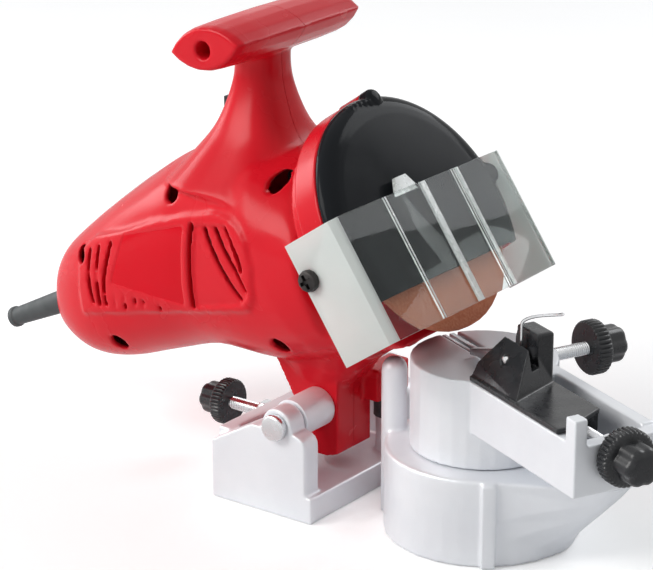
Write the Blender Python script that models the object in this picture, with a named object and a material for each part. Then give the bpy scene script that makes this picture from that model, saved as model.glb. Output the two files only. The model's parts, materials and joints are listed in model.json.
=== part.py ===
"""Bench sharpener for chainsaw chains, in metres, +Z up.

The origin lies on the bench under the pivot end of the base. +X runs forward to the chain vise,
+Y to the far side. The grinding head swings on a pin across the base, above a turning vise.
"""
import math

import bmesh
import bpy
from mathutils import Matrix, Vector

# Fits shared by the whole object
TOUCH_GAP = 0.0003
CUT_OVERRUN = 0.004
THREAD_RADIUS = 0.003
BORE_GAP = 0.0003
SHARP_ANGLE = math.radians(35)
ROUND_STEPS = 32
SMALL_STEPS = 16
SCREW_STEPS = 12

# Base plate, ears and pivot
PLATE_REAR = -0.0309
PLATE_FRONT = 0.0248
PLATE_HALF_WIDTH = 0.0441
PLATE_THICK = 0.0119
EAR_THICK = 0.0104
EAR_FRONT = 0.0214
EAR_REAR_HEIGHT = 0.027
EAR_TOP_HEIGHT = 0.0398
EAR_SLOPE_X = -0.0085
EAR_CORNER = 0.006
PIVOT_X = 0.0058
PIVOT_Z = 0.0419
PIVOT_BOSS_RADIUS = 0.0082
PIN_RADIUS = 0.004
PIN_HEAD_RADIUS = 0.0061
PIN_HEAD_HEIGHT = 0.0035
PIN_END_LENGTH = 0.0045
CLIP_THICK = 0.001
CLIP_RADIUS = 0.0062
CLIP_GROOVE_DEPTH = 0.0009
BARREL_RADIUS = 0.009
BARREL_WALL = 0.0016
SPACER_RADIUS = 0.0062
SPACER_PLAY = 0.0004
REAR_WALL_THICK = 0.007
REAR_WALL_HEIGHT = 0.032
BUFFER_X = 0.0185
BUFFER_Y = 0.0235
BUFFER_POST_RADIUS = 0.0064
BUFFER_POST_HEIGHT = 0.0343
BUFFER_CAP_RADIUS = 0.0074
BUFFER_CAP_THICK = 0.0035
BUFFER_CAP_SKIRT = 0.005

# Return spring round the pivot pin
SPRING_WIRE_RADIUS = 0.0006
SPRING_COIL_RADIUS = 0.0061
SPRING_TURNS = 6
SPRING_POINTS_PER_TURN = 8
SPRING_MARGIN = 0.0025
WIRE_SPOKES = 6

# Drum that carries the vise
DRUM_X = 0.0848
DRUM_RADIUS = 0.043
DRUM_HEIGHT = 0.0394
DRUM_WALL = 0.004
DRUM_ROOF = 0.008
DRUM_CHAMFER = 0.0008
BOW_TIP_RADIUS = 0.015
BOW_REACH = 0.075
BOW_LEAST_REACH = 0.0436
BOW_HEIGHT_SHARES = (0.0, 0.14, 0.31, 0.55, 0.78, 1.0)
BOW_REACH_SHARES = (0.0, 0.06, 0.25, 0.53, 0.79, 1.0)
DRUM_ARC_STEPS = 28
BOW_ARC_STEPS = 8
DRUM_RIB_ANGLE = math.radians(-53)
DRUM_RIB_WIDTH = 0.006
DRUM_RIB_PROUD = 0.0025
REAR_PILLAR_RADIUS = 0.0058
REAR_PILLAR_HEIGHT = 0.073
REAR_PILLAR_ANGLE = math.radians(192.4)
REAR_PILLAR_OUT = 0.0418
BRIDGE_NEAR = 0.018
BRIDGE_FAR = 0.038
BRIDGE_HEIGHT = 0.016
BRIDGE_END = 0.066

# Turning vise
VISE_ANGLE = math.radians(-25)
VISE_RADIUS = 0.032
VISE_TOP = 0.0797
ARM_LOW = 0.0567
ARM_HALF_WIDTH = 0.0214
ARM_WALL = 0.006
ARM_FLOOR = 0.005
ARM_REACH = 0.103
ARM_END_THICK = 0.007
END_WALL_DROP = 0.0012
POST_HEIGHT = 0.0103
END_SLOT_HALF_WIDTH = 0.0042
CHAIN_GAP = 0.0016
RAIL_THICK = 0.002
JAW_THICK = 0.0024
GROOVE_DEPTH = 0.0145
GROOVE_PLAY = 0.0016
STUD_RADIUS = 0.004
STUD_SINK = 0.018
STUD_LOW = 0.0185
WASHER_RADIUS = 0.011
WASHER_THICK = 0.0016
LOCK_KNOB_RADIUS = 0.0185
LOCK_KNOB_HEIGHT = 0.012
LOCK_KNOB_LOBES = 6

# Knobs, all of one pattern
FLANGE_RADIUS = 0.0123
FLANGE_THICK = 0.007
CAP_RADIUS = 0.0085
CAP_LENGTH = 0.011
CAP_LOBES = 6
CAP_LOBE_SHARE = 0.07
CAP_STEPS = 36
KNOB_EDGE = 0.0012
KNOB_SOCKET_DEPTH = 0.009

# Depth stop behind the pivot
DEPTH_SCREW_Z = 0.025
DEPTH_KNOB_FACE = -0.0535
DEPTH_KNOB_SHARE = 0.88
DEPTH_TIP_GAP = 0.0024
LOCKNUT_THICK = 0.005
LOCKNUT_RADIUS = 0.0058
DEPTH_BOSS_RADIUS = 0.0065
DEPTH_BOSS_PROUD = 0.002

# Chain clamp on the far side of the vise
CLAMP_SCREW_Z = 0.0737
CLAMP_BOSS_RADIUS = 0.0055
CLAMP_BOSS_END = 0.0335
CLAMP_KNOB_FACE = 0.0518

# Chain stop on the vise arm
ADJUST_SCREW_Z = 0.0725
ADJUST_KNOB_GAP = 0.001
ADJUST_COLLAR_RADIUS = 0.0052
ADJUST_COLLAR_THICK = 0.002
ADJUST_SCREW_START = 0.046
CARRIAGE_PLATE_START = 0.0335
CARRIAGE_PLATE_ROOM = 0.0245
CARRIAGE_PLATE_END = ARM_REACH - CARRIAGE_PLATE_ROOM
CARRIAGE_NOSE_START = 0.0225
CARRIAGE_PLATE_THICK = 0.0022
CARRIAGE_SHOULDER = 0.0075
CARRIAGE_FAR_EDGE = 0.0065
CARRIAGE_HEAD_START = 0.029
CARRIAGE_HEAD_END = 0.045
CARRIAGE_HEAD_HEIGHT = 0.0245
CARRIAGE_NECK_DROP = 0.003
CARRIAGE_HEAD_HALF_WIDTH = 0.006
CARRIAGE_NEAR_ROOM = 0.013
CARRIAGE_NEAR_END = ARM_REACH - CARRIAGE_NEAR_ROOM
CARRIAGE_WEB_END = 0.058
CARRIAGE_INSET = 0.0009
CARRIAGE_SINK = 0.0005
NUT_BLOCK_LENGTH = 0.0145
NUT_BLOCK_END = CARRIAGE_PLATE_END
NUT_BLOCK_START = NUT_BLOCK_END - NUT_BLOCK_LENGTH
NUT_BLOCK_HALF_WIDTH = 0.006
NUT_BLOCK_LOW = 0.0665
SLOT_PLAY = 0.0006
PAWL_PIN_ALONG = 0.0365
PAWL_PIN_RISE = 0.0125
PAWL_PIN_RADIUS = 0.0015
PAWL_PIN_HALF_LENGTH = 0.0085
PAWL_HALF_THICK = 0.002
PAWL_EYE_RADIUS = 0.0036
PAWL_ACROSS = -0.005
PAWL_TIP_ALONG = -0.001
PAWL_TIP_RISE = 0.0013
PAWL_TIP_HEIGHT = 0.0028
PAWL_WAIST_ALONG = 0.022
PAWL_WAIST_RISE = 0.0052
PAWL_SLOT_END = 0.0415
PAWL_SLOT_FLOOR = 0.0104
LIFT_WIRE_RADIUS = 0.0007
LIFT_WIRE_RISE = 0.0145
LIFT_WIRE_FORWARD = 0.0165
LIFT_WIRE_ACROSS = 0.0095
LIFT_WIRE_CLIMB = 0.008
LIFT_WIRE_POINTS = 14

# Grinding head
HEAD_TILT = math.radians(34.5)
DISC_X = 0.04955
DISC_Z = 0.13343
DISC_RADIUS = 0.05
DISC_THICK = 0.0032
DISC_BORE = 0.005
DISC_FRONT = 0.0001
FLANGE_DISC_RADIUS = 0.016
INNER_FLANGE_THICK = 0.0035
OUTER_WASHER_RADIUS = 0.011
OUTER_WASHER_THICK = 0.0012
DISC_SCREW_HEAD_RADIUS = 0.006
DISC_SCREW_HEAD_HEIGHT = 0.0017
DISC_SCREW_RADIUS = 0.0015
SPIGOT_RADIUS = 0.0047
SPIGOT_SHARE = 0.8
DISC_SCREW_LENGTH = 0.012
GUARD_RADIUS = 0.0583
GUARD_FRONT = 0.0058
GUARD_DEPTH = 0.0199
GUARD_WALL = 0.0018
GUARD_EDGE = 0.0028
GUARD_CHORD = -0.0247
GUARD_LUG_RADIUS = 0.0045
GUARD_LUG_ANGLES = (math.radians(84), math.radians(6), math.radians(174))
GUARD_LUG_OUT = 0.0562
GUARD_LUG_SETBACK = 0.002
GUARD_SCREW_RADIUS = 0.0012
GUARD_SCREW_LENGTH = 0.011
GUARD_SCREW_HEAD_RADIUS = 0.0024
GUARD_SCREW_HEAD_HEIGHT = 0.0018
GUARD_BACK_THICK = 0.0025
SHAFT_HOLE_RADIUS = 0.013

# Clear eye shield
SHIELD_FRONT = 0.0113
SHIELD_HALF_WIDTH = 0.063
SHIELD_LOW = -0.0427
SHIELD_HIGH = 0.0142
SHIELD_THICK = 0.002
SHIELD_WING_DEPTH = 0.031
SHIELD_CORNER = 0.003
SHIELD_CROWN = 0.0012
SHIELD_BEND_1 = -0.0265
SHIELD_BEND_2 = 0.001
SHIELD_BEND_3 = 0.0275
SHIELD_STEP = 0.0012
SHIELD_STEP_WIDTH = 0.0018
SHIELD_TAB_Y = -0.0105
SHIELD_TAB_HALF_WIDTH = 0.0085
SHIELD_TAB_HEIGHT = 0.0058
SHIELD_TAB_SHARE = 0.45
SHIELD_PIVOT_BACK = -0.0153
SHIELD_PIVOT_UP = -0.0034
SHIELD_PIVOT_RADIUS = 0.002
SHIELD_PIVOT_HEAD_RADIUS = 0.0048
SHIELD_PIVOT_HEAD_THICK = 0.0032
SHIELD_ARM_RADIUS = 0.0036
SHIELD_ARM_ROOT = 0.0553
SHIELD_PLAY = 0.0005

# Red housing
SWING = math.radians(6)
RELIEF_X = 0.047
RELIEF_Z = 0.0852
RELIEF_LENGTH = 0.03
PILLAR_RELIEF_REAR = 0.0105
PILLAR_RELIEF_FRONT = 0.009
PILLAR_RELIEF_SIDE = 0.0068
PILLAR_RELIEF_RISE = 0.0054
WALL = 0.0026
LIP_RADIUS = 0.0548
LIP_DEPTH = 0.006
LIP_TAPER = 0.0016
FRONT_WALL = 0.0032
THROAT_RADIUS = 0.0495
THROAT_BACK = 0.0116
INNER_START_SHARE = 0.42
BODY_REAR = -0.1465
BODY_LENGTH = 0.2018
BODY_LOW = 0.038
BODY_HEIGHT = 0.1328
BODY_HALF_WIDTH = 0.048
BODY_STEPS = 32
RING_START_SHARE = 0.5
BODY_SQUARENESS = 2.4
BODY_TOP_ALONG_SHARES = (0.007, 0.037, 0.092, 0.181, 0.290, 0.399, 0.518, 0.617)
BODY_TOP_UP_SHARES = (0.316, 0.399, 0.478, 0.591, 0.719, 0.828, 0.889, 0.900)
BODY_LOW_ALONG_SHARES = (0.0, 0.032, 0.121, 0.220, 0.354, 0.503, 0.686, 0.835)
BODY_LOW_UP_SHARES = (0.136, 0.053, 0.0, 0.015, 0.087, 0.158, 0.166, 0.226)
BODY_WIDTH_SHARES = (0.28, 0.50, 0.66, 0.76, 0.82, 0.88, 0.94, 1.0)
LEG_HALF_WIDTH = 0.0128
LEG_RADIUS = 0.0237
LEG_FRONT = 0.0155
LEG_REAR = -0.0075
LEG_KNEE_Z = 0.041
LEG_FRONT_KNEE_Z = 0.058
LEG_TOP = 0.095
LEG_TOP_FRONT = 0.044
LEG_TOP_REAR = -0.014
LEG_ROOT_REAR = -0.021
LEG_ROOT_REAR_Z = 0.064
ROOT_LOW_Z = 0.050
ROOT_HEIGHT = 0.050
ROOT_HEIGHT_SHARES = (0.0, 0.28, 0.62, 1.0)
ROOT_REAR = -0.0085
ROOT_LENGTH = 0.024
ROOT_BACK_SHARES = (0.0, 0.46, 0.66, 0.3)
ROOT_FRONT_SHARES = (0.97, 1.45, 2.35, 2.47)
ROOT_WIDTH_SHARES = (0.95, 1.4, 2.45, 2.95)
ROOT_SQUARENESS = 3.4
LUG_FRONT = 0.0245
LUG_REAR = 0.0135
LUG_LOW = 0.0412
LUG_HIGH = 0.056
LUG_WIDTH = 0.0175
NECK_X = -0.0345
NECK_BASE_Z = 0.138
NECK_HEIGHT = 0.066
NECK_HALF_LENGTH = 0.0105
NECK_HALF_WIDTH = 0.0123
NECK_HEIGHT_SHARES = (0.0, 0.2, 0.36, 0.52, 0.7, 0.85, 1.0)
NECK_FLARE_SHARES = (3.5, 2.5, 1.78, 1.36, 1.06, 1.0, 1.04)
NECK_STEPS = 20
GRIP_X = -0.0322
GRIP_RISE = 0.0016
GRIP_Z = NECK_BASE_Z + NECK_HEIGHT + GRIP_RISE
GRIP_HALF_LENGTH = 0.044
GRIP_CHORD = 0.044
GRIP_THICK = 0.0215
GRIP_TILT = math.radians(12.5)
GRIP_ALONG_SHARES = (-1.0, -0.93, -0.6, 0.0, 0.6, 0.93, 1.0)
GRIP_SCALE_SHARES = (0.84, 0.92, 0.97, 1.0, 0.97, 0.92, 0.84)
GRIP_STEPS = 8
GRIP_HOLLOW_SHARE = 0.74
GRIP_SCREW_X = -0.033
GRIP_SCREW_SINK = 0.0006
BOSS_RADIUS = 0.006
SCREW_RECESS_RADIUS = 0.0040
SCREW_RECESS_FLOOR = 0.016
SCREW_HEAD_RADIUS = 0.0034
SCREW_HEAD_HEIGHT = 0.0026
SCREW_SHANK_RADIUS = 0.0015
SCREW_DEPTH = 0.012
SCREW_ALONG_SHARES = (0.434, 0.245, 0.731, 0.151)
SCREW_UP_SHARES = (0.723, 0.12, 0.286, 0.414)
THROAT_SCREW_BACK = -0.0359
THROAT_SCREW_UP = 0.0423
PANEL_DEPTH = 0.0012
PANEL_ALONG_SHARES = (0.283, 0.453, 0.457, 0.237)
PANEL_UP_SHARES = (0.527, 0.625, 0.335, 0.331)
VENT_PANEL_ALONG_SHARES = (0.496, 0.572, 0.63, 0.496)
VENT_PANEL_UP_SHARES = (0.628, 0.65, 0.395, 0.345)
VENT_WIDTH = 0.0022
VENT_INSIDE = 0.024
VENT_COUNT = 3
VENT_PITCH = 0.0058
VENT_TOP_ALONG_SHARE = 0.515
VENT_TOP_UP_SHARE = 0.612
VENT_LOW_ALONG_SHARE = 0.596
VENT_LOW_UP_SHARE = 0.40
REAR_VENT_COUNT = 3
REAR_VENT_PITCH = 0.0068
REAR_VENT_TOP_ALONG_SHARE = 0.165
REAR_VENT_TOP_UP_SHARE = 0.478
REAR_VENT_LOW_ALONG_SHARE = 0.135
REAR_VENT_LOW_UP_SHARE = 0.185

# Motor inside the head
MOTOR_RADIUS = 0.022
MOTOR_FRONT = -0.0225
MOTOR_LENGTH = 0.04
MOTOR_WALL = 0.0015
MOTOR_END_WALL = 0.002
MOTOR_NOSE_RADIUS = 0.0135
MOTOR_NOSE_LENGTH = 0.0072
MOTOR_NOSE_WALL = 0.0012
MAGNET_THICK = 0.0045
MAGNET_HALF_ANGLE = math.radians(60)
MAGNET_LENGTH = 0.028
MAGNET_FRONT = 0.0075
MAGNET_STEPS = 10
SHAFT_RADIUS = 0.004
SHAFT_NOSE_RADIUS = 0.003
BEARING_RADIUS = 0.0095
BEARING_WIDTH = 0.006
ARMATURE_RADIUS = 0.0135
ARMATURE_LENGTH = 0.024
ARMATURE_FRONT = 0.0075
ARMATURE_SLOTS = 10
ARMATURE_SLOT_SHARE = 0.78
ARMATURE_TOOTH_SHARES = (0.14, 0.86)
COMMUTATOR_RADIUS = 0.0075
COMMUTATOR_LENGTH = 0.0062
BRUSH_SIZE = 0.004
BRUSH_HOLDER_SIZE = 0.0068
BRUSH_HOLDER_REACH = 0.0175
BRUSH_LENGTH = 0.0075
END_CAP_THICK = 0.0025
END_BOSS_RADIUS = 0.012
END_BOSS_LENGTH = 0.008
CRADLE_THICK = 0.003
CRADLE_INSET = 0.004
CRADLE_REACH = 0.06

# Electrics
SWITCH_Z = 0.1655
SWITCH_HALF_HEIGHT = 0.0072
SWITCH_HALF_WIDTH = 0.0056
SWITCH_DEPTH = 0.014
SWITCH_FACE_X = -0.0497
SWITCH_BEZEL = 0.0011
SWITCH_BEZEL_THICK = 0.0016
ROCKER_RADIUS = 0.0058
ROCKER_HALF_WIDTH = 0.0042
ROCKER_SINK = 0.0042
ROCKER_PLAY = 0.0004
ROCKER_BACK_ANGLE = math.radians(110)
ROCKER_PROUD = 0.0066
ROCKER_DIP = 0.0056
ROCKER_TIP = 0.0042
BOARD_CENTRE_X = -0.078
BOARD_CENTRE_Z = 0.088
BOARD_LENGTH = 0.034
BOARD_HALF_WIDTH = 0.018
BOARD_THICK = 0.0016
BOARD_POST_RADIUS = 0.003
BOARD_POST_SHARE = 0.76
TERMINAL_LENGTH = 0.012
TERMINAL_HEIGHT = 0.009
TERMINAL_HALF_WIDTH = 0.011
BOOT_ANGLE = math.radians(205.5)
BOOT_ROOT_X = -0.135
BOOT_ROOT_Z = 0.0633
BOOT_LENGTH = 0.06
BOOT_ROOT_RADIUS = 0.0058
BOOT_TIP_RADIUS = 0.0044
BOOT_COLLAR_RADIUS = 0.0078
BOOT_COLLAR_THICK = 0.0026
BOOT_BORE = 0.0032
BOOT_RING = 0.0007
BOOT_RING_LENGTH = 0.003
SADDLE_X = -0.123
SADDLE_HALF_LENGTH = 0.0045
SADDLE_HALF_WIDTH = 0.0115
SADDLE_TOP = 0.071
SADDLE_GROOVE_HALF_WIDTH = 0.0034
SADDLE_GROOVE_DEPTH = 0.0068
CLAMP_BAR_THICK = 0.0035

FINISHES = {
    "cast": ((0.80, 0.81, 0.83, 1), 0.35, 0.85),
    "zinc": ((0.78, 0.78, 0.76, 1), 0.25, 1.0),
    "steel": ((0.62, 0.62, 0.64, 1), 0.3, 1.0),
    "black": ((0.02, 0.02, 0.022, 1), 0.35, 0.0),
    "red": ((0.72, 0.02, 0.035, 1), 0.28, 0.0),
    "clear": ((0.86, 0.92, 0.9, 0.3), 0.08, 0.0),
    "disc": ((0.42, 0.14, 0.07, 1), 0.9, 0.0),
    "rubber": ((0.08, 0.09, 0.09, 1), 0.7, 0.0),
    "copper": ((0.75, 0.35, 0.2, 1), 0.35, 1.0),
    "magnet": ((0.12, 0.12, 0.13, 1), 0.6, 0.0),
    "board": ((0.1, 0.3, 0.12, 1), 0.5, 0.0),
    "carbon": ((0.05, 0.05, 0.05, 1), 0.6, 0.0),
}

# The pieces that move together hang on one empty
RIGS = {}


def frame_at(origin, along, across):
    """Frame whose Z runs along one direction and whose X runs across it."""
    z_axis = Vector(along).normalized()
    x_axis = Vector(across).normalized()
    y_axis = z_axis.cross(x_axis)
    frame = Matrix((x_axis, y_axis, z_axis)).transposed().to_4x4()
    frame.translation = Vector(origin)
    return frame


def add_rig(name, frame, parent=None):
    rig = bpy.data.objects.new(name, None)
    bpy.context.collection.objects.link(rig)
    if parent:
        rig.parent = RIGS[parent]
    rig.matrix_world = frame
    RIGS[name] = rig
    bpy.context.view_layer.update()


def new_material(name, finish):
    colour, roughness, metallic = FINISHES[finish]
    material = bpy.data.materials.new(name)
    material.use_nodes = True
    shader = material.node_tree.nodes["Principled BSDF"]
    shader.inputs["Base Color"].default_value = colour
    shader.inputs["Roughness"].default_value = roughness
    shader.inputs["Metallic"].default_value = metallic
    shader.inputs["Alpha"].default_value = colour[3]
    return material


def add_object(name, data, frame, finish=None, rig=None, smooth=True):
    """A named piece, or a hidden guide where it has no finish."""
    bmesh.ops.recalc_face_normals(data, faces=data.faces)
    mesh = bpy.data.meshes.new(name)
    data.to_mesh(mesh)
    data.free()
    if smooth:
        mesh.shade_smooth()
        mesh.set_sharp_from_angle(angle=SHARP_ANGLE)
    piece = bpy.data.objects.new(name, mesh)
    bpy.context.collection.objects.link(piece)
    if rig:
        piece.parent = RIGS[rig]
    piece.matrix_world = frame
    if finish:
        mesh.materials.append(new_material(name, finish))
    else:
        piece.hide_render = True
        piece.display_type = "WIRE"
    return piece


def combine(piece, others, operation):
    for other in others:
        change = piece.modifiers.new(other.name, "BOOLEAN")
        change.operation = operation
        change.solver = "EXACT"
        change.object = other


def cut(piece, *others):
    combine(piece, others, "DIFFERENCE")


def unite(piece, *others):
    combine(piece, others, "UNION")


def keep(piece, *others):
    combine(piece, others, "INTERSECT")


def round_edges(piece, width, steps=2, angle=math.radians(40)):
    bevel = piece.modifiers.new("edges", "BEVEL")
    bevel.width = width
    bevel.segments = steps
    bevel.limit_method = "ANGLE"
    bevel.angle_limit = angle


def prism(name, outline, low, high, frame, **look):
    """An outline in the frame's XY, extruded along its Z from low to high."""
    data = bmesh.new()
    floor = data.faces.new([data.verts.new((x, y, low)) for x, y in outline])
    grown = bmesh.ops.extrude_face_region(data, geom=[floor])
    top = [item for item in grown["geom"] if isinstance(item, bmesh.types.BMVert)]
    bmesh.ops.translate(data, verts=top, vec=(0, 0, high - low))
    return add_object(name, data, frame, **look)


def box(name, lows, highs, frame, **look):
    outline = [(lows[0], lows[1]), (highs[0], lows[1]), (highs[0], highs[1]), (lows[0], highs[1])]
    return prism(name, outline, lows[2], highs[2], frame, **look)


def turned(name, profile, frame, steps=ROUND_STEPS, **look):
    """A profile of radius and height pairs, turned about the frame's Z, open only round its own bore."""
    bored = profile[0][0] > 0
    rings = []
    for radius, height in (profile if bored else profile[1:-1]):
        ring = []
        for step in range(steps):
            turn = math.tau * step / steps
            ring.append((radius * math.cos(turn), radius * math.sin(turn), height))
        rings.append(ring)
    return lofted(name, rings, frame, looped=bored, **look)


def rod(name, radius, low, high, frame, steps=SMALL_STEPS, **look):
    return turned(name, [(0, low), (radius, low), (radius, high), (0, high)], frame, steps, **look)


def sleeve(name, inner, outer, low, high, frame, steps=ROUND_STEPS, **look):
    profile = [(inner, low), (outer, low), (outer, high), (inner, high)]
    return turned(name, profile, frame, steps, **look)


def lofted(name, rings, frame, looped=False, split=False, **look):
    """A skin over a row of rings with as many points each, capped, or joined end to end where looped."""
    data = bmesh.new()
    loops = [[data.verts.new(point) for point in ring] for ring in rings]
    for first, second in zip(loops, loops[1:] + loops[:1] if looped else loops[1:]):
        for step in range(len(first)):
            after = (step + 1) % len(first)
            data.faces.new((first[step], first[after], second[after], second[step]))
    if not looped:
        data.faces.new(loops[0])
        data.faces.new(loops[-1])
    if split:
        bmesh.ops.triangulate(data, faces=data.faces)
    return add_object(name, data, frame, **look)


WORLD = Matrix.Identity(4)
SIDE = frame_at((0, 0, 0), (0, -1, 0), (1, 0, 0))
PIVOT = frame_at((PIVOT_X, 0, PIVOT_Z), (0, -1, 0), (1, 0, 0))
N_AXIS = Vector((math.cos(HEAD_TILT), 0, math.sin(HEAD_TILT)))
UP_AXIS = Vector((-math.sin(HEAD_TILT), 0, math.cos(HEAD_TILT)))
Y_AXIS = Vector((0, 1, 0))
DISC_CENTRE = Vector((DISC_X, 0, DISC_Z))
HEAD = frame_at(DISC_CENTRE, N_AXIS, Y_AXIS)
SHIELD = frame_at(DISC_CENTRE, UP_AXIS, Y_AXIS)
VISE = frame_at((DRUM_X, 0, 0), (0, 0, 1), (math.cos(VISE_ANGLE), math.sin(VISE_ANGLE), 0))
ALONG_ARM = Vector((math.cos(VISE_ANGLE), math.sin(VISE_ANGLE), 0))
ACROSS_ARM = Vector((-math.sin(VISE_ANGLE), math.cos(VISE_ANGLE), 0))
Z_AXIS = Vector((0, 0, 1))
EAR_INSIDE = PLATE_HALF_WIDTH - EAR_THICK
GUARD_BACK = GUARD_FRONT - GUARD_DEPTH
HOUSING_FRONT = GUARD_BACK - TOUCH_GAP


def head_point(y, up, n):
    return DISC_CENTRE + Y_AXIS * y + UP_AXIS * up + N_AXIS * n


def arc(centre, radius, start, end, steps):
    """Points of a round stretch from one angle to another."""
    turns = [start + (end - start) * step / steps for step in range(steps + 1)]
    return [(centre[0] + radius * math.cos(turn), centre[1] + radius * math.sin(turn)) for turn in turns]


# Base casting

def ear_outline():
    """Side view of an ear: plate edge, rounded front corner, round top over the pin, sloping back."""
    corner = (EAR_FRONT - EAR_CORNER, EAR_TOP_HEIGHT - EAR_CORNER)
    dip = math.asin((PIVOT_Z - EAR_TOP_HEIGHT) / PIVOT_BOSS_RADIUS)
    outline = [(PLATE_REAR, 0), (PLATE_FRONT, 0), (PLATE_FRONT, PLATE_THICK), (EAR_FRONT, PLATE_THICK)]
    outline += arc(corner, EAR_CORNER, 0, math.radians(90), SMALL_STEPS // 4)
    outline += arc((PIVOT_X, PIVOT_Z), PIVOT_BOSS_RADIUS, -dip, math.radians(180) + dip, SMALL_STEPS)
    return outline + [(EAR_SLOPE_X, EAR_TOP_HEIGHT), (PLATE_REAR, EAR_REAR_HEIGHT)]


def drum_ring(reach, height, inset=0):
    """The drum's circle drawn out to a rounded nose."""
    along = reach - BOW_TIP_RADIUS
    lean = math.asin((DRUM_RADIUS - BOW_TIP_RADIUS) / along)
    turn = math.radians(90) - lean
    tip = arc((DRUM_X + along, 0), BOW_TIP_RADIUS - inset, -turn, turn, BOW_ARC_STEPS)
    back = arc((DRUM_X, 0), DRUM_RADIUS - inset, turn, math.tau - turn, DRUM_ARC_STEPS)
    return [(x, y, height) for x, y in tip + back]


def drum_solid():
    rings = []
    for height_share, reach_share in zip(BOW_HEIGHT_SHARES, BOW_REACH_SHARES):
        reach = BOW_LEAST_REACH + (BOW_REACH - BOW_LEAST_REACH) * reach_share
        rings.append(drum_ring(reach, (DRUM_HEIGHT - DRUM_CHAMFER) * height_share))
    rings.append(drum_ring(BOW_REACH, DRUM_HEIGHT, DRUM_CHAMFER))
    return lofted("drum", rings, WORLD, split=True)


def drum_rib():
    frame = frame_at((DRUM_X, 0, 0), Z_AXIS, (math.cos(DRUM_RIB_ANGLE), math.sin(DRUM_RIB_ANGLE), 0))
    return box("drum_rib", (DRUM_RADIUS - DRUM_WALL / 2, -DRUM_RIB_WIDTH / 2, 0),
               (DRUM_RADIUS + DRUM_RIB_PROUD, DRUM_RIB_WIDTH / 2, DRUM_HEIGHT - DRUM_CHAMFER), frame)


def domed_post(name, radius, low, high, frame, **look):
    """A round post with a half-round top."""
    dome = arc((0, high - radius), radius, 0, math.radians(90), SMALL_STEPS // 4)[:-1]
    return turned(name, [(0, low), (radius, low)] + dome + [(0, high)], frame, SMALL_STEPS, **look)


def pillar_place():
    turn = REAR_PILLAR_ANGLE
    return (DRUM_X + REAR_PILLAR_OUT * math.cos(turn), REAR_PILLAR_OUT * math.sin(turn))


def rear_pillar():
    frame = frame_at((*pillar_place(), 0), Z_AXIS, (1, 0, 0))
    return domed_post("rear_pillar", REAR_PILLAR_RADIUS, 0, REAR_PILLAR_HEIGHT, frame)


def depth_frame():
    return frame_at((0, 0, DEPTH_SCREW_Z), (-1, 0, 0), (0, 1, 0))


def base_casting():
    middle = EAR_INSIDE + EAR_THICK / 2
    wall = PLATE_REAR + REAR_WALL_THICK
    outline = [(PLATE_REAR, 0), (PLATE_FRONT, 0), (PLATE_FRONT, PLATE_THICK), (wall, PLATE_THICK),
               (wall, REAR_WALL_HEIGHT), (PLATE_REAR, REAR_WALL_HEIGHT)]
    casting = prism("base_casting", outline, -middle, middle, SIDE, finish="cast", rig="base")
    near_ear = prism("near_ear", ear_outline(), EAR_INSIDE, PLATE_HALF_WIDTH, SIDE)
    far_ear = prism("far_ear", ear_outline(), -PLATE_HALF_WIDTH, -EAR_INSIDE, SIDE)
    spacer = rod("spacer", SPACER_RADIUS, -middle, -LEG_HALF_WIDTH - SPACER_PLAY, PIVOT)
    wall_boss = rod("wall_boss", DEPTH_BOSS_RADIUS, -wall - DEPTH_BOSS_PROUD, -PLATE_REAR - REAR_WALL_THICK / 2,
                    depth_frame())
    post_frame = frame_at((BUFFER_X, BUFFER_Y, 0), Z_AXIS, (1, 0, 0))
    buffer_post = rod("buffer_post", BUFFER_POST_RADIUS, PLATE_THICK / 2, BUFFER_POST_HEIGHT, post_frame)
    bridge = box("bridge", (PLATE_FRONT - EAR_THICK, BRIDGE_NEAR, 0),
                 (BRIDGE_END, BRIDGE_FAR, BRIDGE_HEIGHT), WORLD)
    unite(casting, near_ear, far_ear, spacer, wall_boss, buffer_post, bridge, drum_solid(), drum_rib(),
          rear_pillar())
    drum_frame = frame_at((DRUM_X, 0, 0), Z_AXIS, (1, 0, 0))
    hollow = rod("drum_hollow", DRUM_RADIUS - DRUM_WALL, -CUT_OVERRUN, DRUM_HEIGHT - DRUM_ROOF, drum_frame,
                 steps=ROUND_STEPS)
    stud_hole = rod("stud_hole", STUD_RADIUS + BORE_GAP, -CUT_OVERRUN, DRUM_HEIGHT + CUT_OVERRUN, drum_frame)
    pin_hole = rod("pin_hole", PIN_RADIUS + BORE_GAP, -PLATE_HALF_WIDTH - CUT_OVERRUN,
                   PLATE_HALF_WIDTH + CUT_OVERRUN, PIVOT)
    screw_hole = rod("depth_hole", THREAD_RADIUS + BORE_GAP, -wall - 2 * CUT_OVERRUN, -PLATE_REAR + CUT_OVERRUN,
                     depth_frame())
    cut(casting, hollow, stud_hole, pin_hole, screw_hole)


def rest_buffer():
    """Rubber cap over the buffer post, which the lug of the leg comes down on."""
    frame = frame_at((BUFFER_X, BUFFER_Y, 0), Z_AXIS, (1, 0, 0))
    seat = BUFFER_POST_HEIGHT + TOUCH_GAP
    inner = BUFFER_POST_RADIUS + TOUCH_GAP
    top = BUFFER_POST_HEIGHT + BUFFER_CAP_THICK
    low = BUFFER_POST_HEIGHT - BUFFER_CAP_SKIRT
    edge = arc((BUFFER_CAP_RADIUS - KNOB_EDGE, top - KNOB_EDGE), KNOB_EDGE, 0, math.radians(90),
               SMALL_STEPS // 5)
    profile = [(0, seat), (inner, seat), (inner, low), (BUFFER_CAP_RADIUS, low)] + edge + [(0, top)]
    turned("rest_buffer", profile, frame, steps=SMALL_STEPS, finish="rubber", rig="base")


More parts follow.
